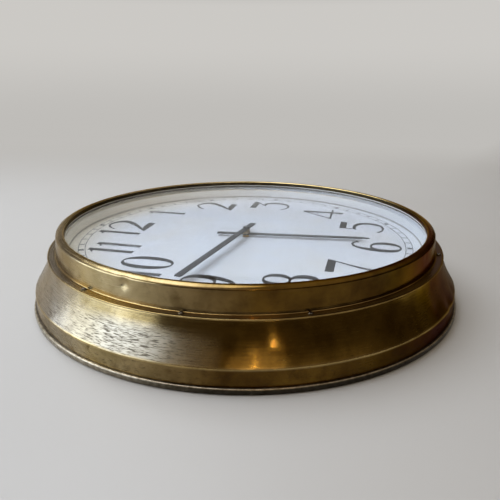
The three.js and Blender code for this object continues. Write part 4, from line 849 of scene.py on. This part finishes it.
# Studio paper is pale and even, with no grain that shows
paper = coat("seamless_studio_paper", "bbb8b2", "b6b3ad", 0.45, 900, 4, bump_share=0.0)
tree = paper.node_tree
place = add(tree, "TexCoord").outputs["Object"]
behind = add(tree, "VectorMath", {0: place, 1: (ahead.x, ahead.y, 0)},
             operation="DOT_PRODUCT").outputs["Value"]
level = add(tree, "SeparateXYZ", {0: place}).outputs["Z"]
rising = add(tree, "MapRange", {0: level, 1: 0.0, 2: 0.5, 3: 0.52, 4: 0.6},
             interpolation_type="SMOOTHSTEP").outputs[0]
falling = add(tree, "MapRange", {0: level, 1: 0.72, 2: 1.0, 3: 0.6, 4: 0.2},
              interpolation_type="SMOOTHSTEP").outputs[0]
glow = add(tree, "Math", {0: rising, 1: falling}, operation="MINIMUM").outputs[0]
light = add(tree, "Emission", {"Color": linear("fffcf7"), "Strength": glow}).outputs[0]
# Only rays that look at the paper meet the glow: straight, by mirror or through glass. It is no lamp
rays = add(tree, "LightPath")
looking = add(tree, "Math", {0: rays.outputs["Is Camera Ray"], 1: rays.outputs["Is Glossy Ray"]},
              operation="MAXIMUM").outputs[0]
looking = add(tree, "Math", {0: looking, 1: rays.outputs["Is Transmission Ray"]},
              operation="MAXIMUM").outputs[0]
# It fades out to the right, where the near side of the brass would mirror it, and towards the clock
beyond = add(tree, "VectorMath", {0: place, 1: (across.x - 0.7 * ahead.x, across.y - 0.7 * ahead.y, 0)},
             operation="DOT_PRODUCT").outputs["Value"]
seen = add(tree, "MapRange", {0: beyond, 1: 0.0, 2: 0.5, 3: looking, 4: 0.0}).outputs[0]
lit = add(tree, "MapRange", {0: behind, 1: 0.25, 2: 1.5, 4: seen},
          interpolation_type="SMOOTHSTEP").outputs[0]
sheet = add(tree, "MixShader", {0: lit, 1: tree.nodes["Principled BSDF"].outputs[0], 2: light}).outputs[0]
tree.links.new(sheet, tree.nodes["Material Output"].inputs["Surface"])


def studio_sheet(name, grid, wrap):
    """A one-sided sheet from a grid in mm, its faces turned to the clock."""
    mesh = bpy.data.meshes.new(name)
    quads = grid_faces(*grid.shape[:2], False, wrap)
    mesh.from_pydata((grid.reshape(-1, 3) * MM).tolist(), [], quads[:, ::-1].tolist())
    mesh.polygons.foreach_set("use_smooth", np.ones(len(quads), bool))
    mesh.materials.append(paper)
    sheet = bpy.data.objects.new(name, mesh)
    bpy.context.scene.collection.objects.link(sheet)


floor_profile = np.array([[0.5, PAPER_Z], [700, PAPER_Z], [SWEEP_AT, PAPER_Z], [FLOOR_REACH, PAPER_Z]])
studio_sheet("studio_floor", turn(floor_profile, 128), True)
sweep = quarter(SWEEP_ROUND, SWEEP_ROUND, (SWEEP_AT, SWEEP_ROUND - 1), -math.pi / 2, 0, 10)[:, :2]
# Columns of 2.5 degrees, of which those from azimuth -20 to 95 are kept
backdrop = turn(np.concatenate([sweep, [[SWEEP_AT + SWEEP_ROUND, PAPER_HIGH]]]), 144)
studio_sheet("studio_sweep", np.roll(backdrop, 8, 1)[:, :47], False)

# A lamp that is given this collection does not light the glass
no_glare = bpy.data.collections.new("no_glare")
no_glare.objects.link(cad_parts["glass"])
no_glare.collection_objects[0].light_linking.link_state = "EXCLUDE"


def soft_box(name, azimuth, elevation, distance, wide, high, radiance, colour):
    """An oval area lamp that faces the dial: watts = radiance * pi * area, area = pi / 4 * wide * high.
    Angles are in degrees, lengths in metres."""
    lamp = bpy.data.lights.new(name, "AREA")
    lamp.shape, lamp.size, lamp.size_y = "ELLIPSE", wide, high
    lamp.energy = radiance * math.pi ** 2 / 4 * wide * high
    lamp.color = linear(colour)[:3]
    a, e = math.radians(azimuth), math.radians(elevation)
    out = Vector((math.cos(a) * math.cos(e), math.sin(a) * math.cos(e), math.sin(e)))
    holder = bpy.data.objects.new(name, lamp)
    holder.location = Vector((0, 0, 0.07)) + out * distance
    holder.rotation_euler = out.to_track_quat("Z", "Y").to_euler()
    holder.visible_camera = False
    bpy.context.scene.collection.objects.link(holder)
    return holder


# Azimuth, elevation, distance, width, height, radiance and colour of each lamp
window = soft_box("window_side", 119, 14.5, 2.2, 2.6, 1.1, 4.0, "dceaff")
window.light_linking.receiver_collection = no_glare
soft_box("overhead", 72, 64, 2.0, 2.1, 1.9, 4.6, "e6f0ff")
soft_box("reading_lamp", 207, 19.5, 2.6, 0.05, 0.06, 90.0, "ffdfae")
soft_box("second_lamp", 198, 33, 2.6, 0.07, 0.06, 90.0, "ffdfae")
soft_box("lamp_shade", 200, 33, 2.5, 1.1, 0.6, 0.6, "ffe0b8")
world = bpy.data.worlds.new("dim_and_paler_above")
bpy.context.scene.world = world
world.use_nodes = True
tree = world.node_tree
way = add(tree, "SeparateXYZ", {0: add(tree, "TexCoord").outputs["Generated"]}).outputs["Z"]
# It turns paler from 21 degrees up, where z is 0.36, to 58 degrees, where z is 0.85
above = add(tree, "MapRange", {0: way, 1: 0.36, 2: 0.85}, interpolation_type="SMOOTHSTEP").outputs[0]
tint = add(tree, "Mix", {0: above, 6: linear("ffdcae"), 7: linear("fff4e6")}, data_type="RGBA").outputs[2]
strength = add(tree, "MapRange", {0: above, 3: 0.065, 4: 0.55}).outputs[0]
tree.links.new(tint, tree.nodes["Background"].inputs["Color"])
tree.links.new(strength, tree.nodes["Background"].inputs["Strength"])
bpy.context.scene.view_settings.view_transform = "Standard"
print("studio: floor, sweep and", len(bpy.data.lights), "soft boxes")
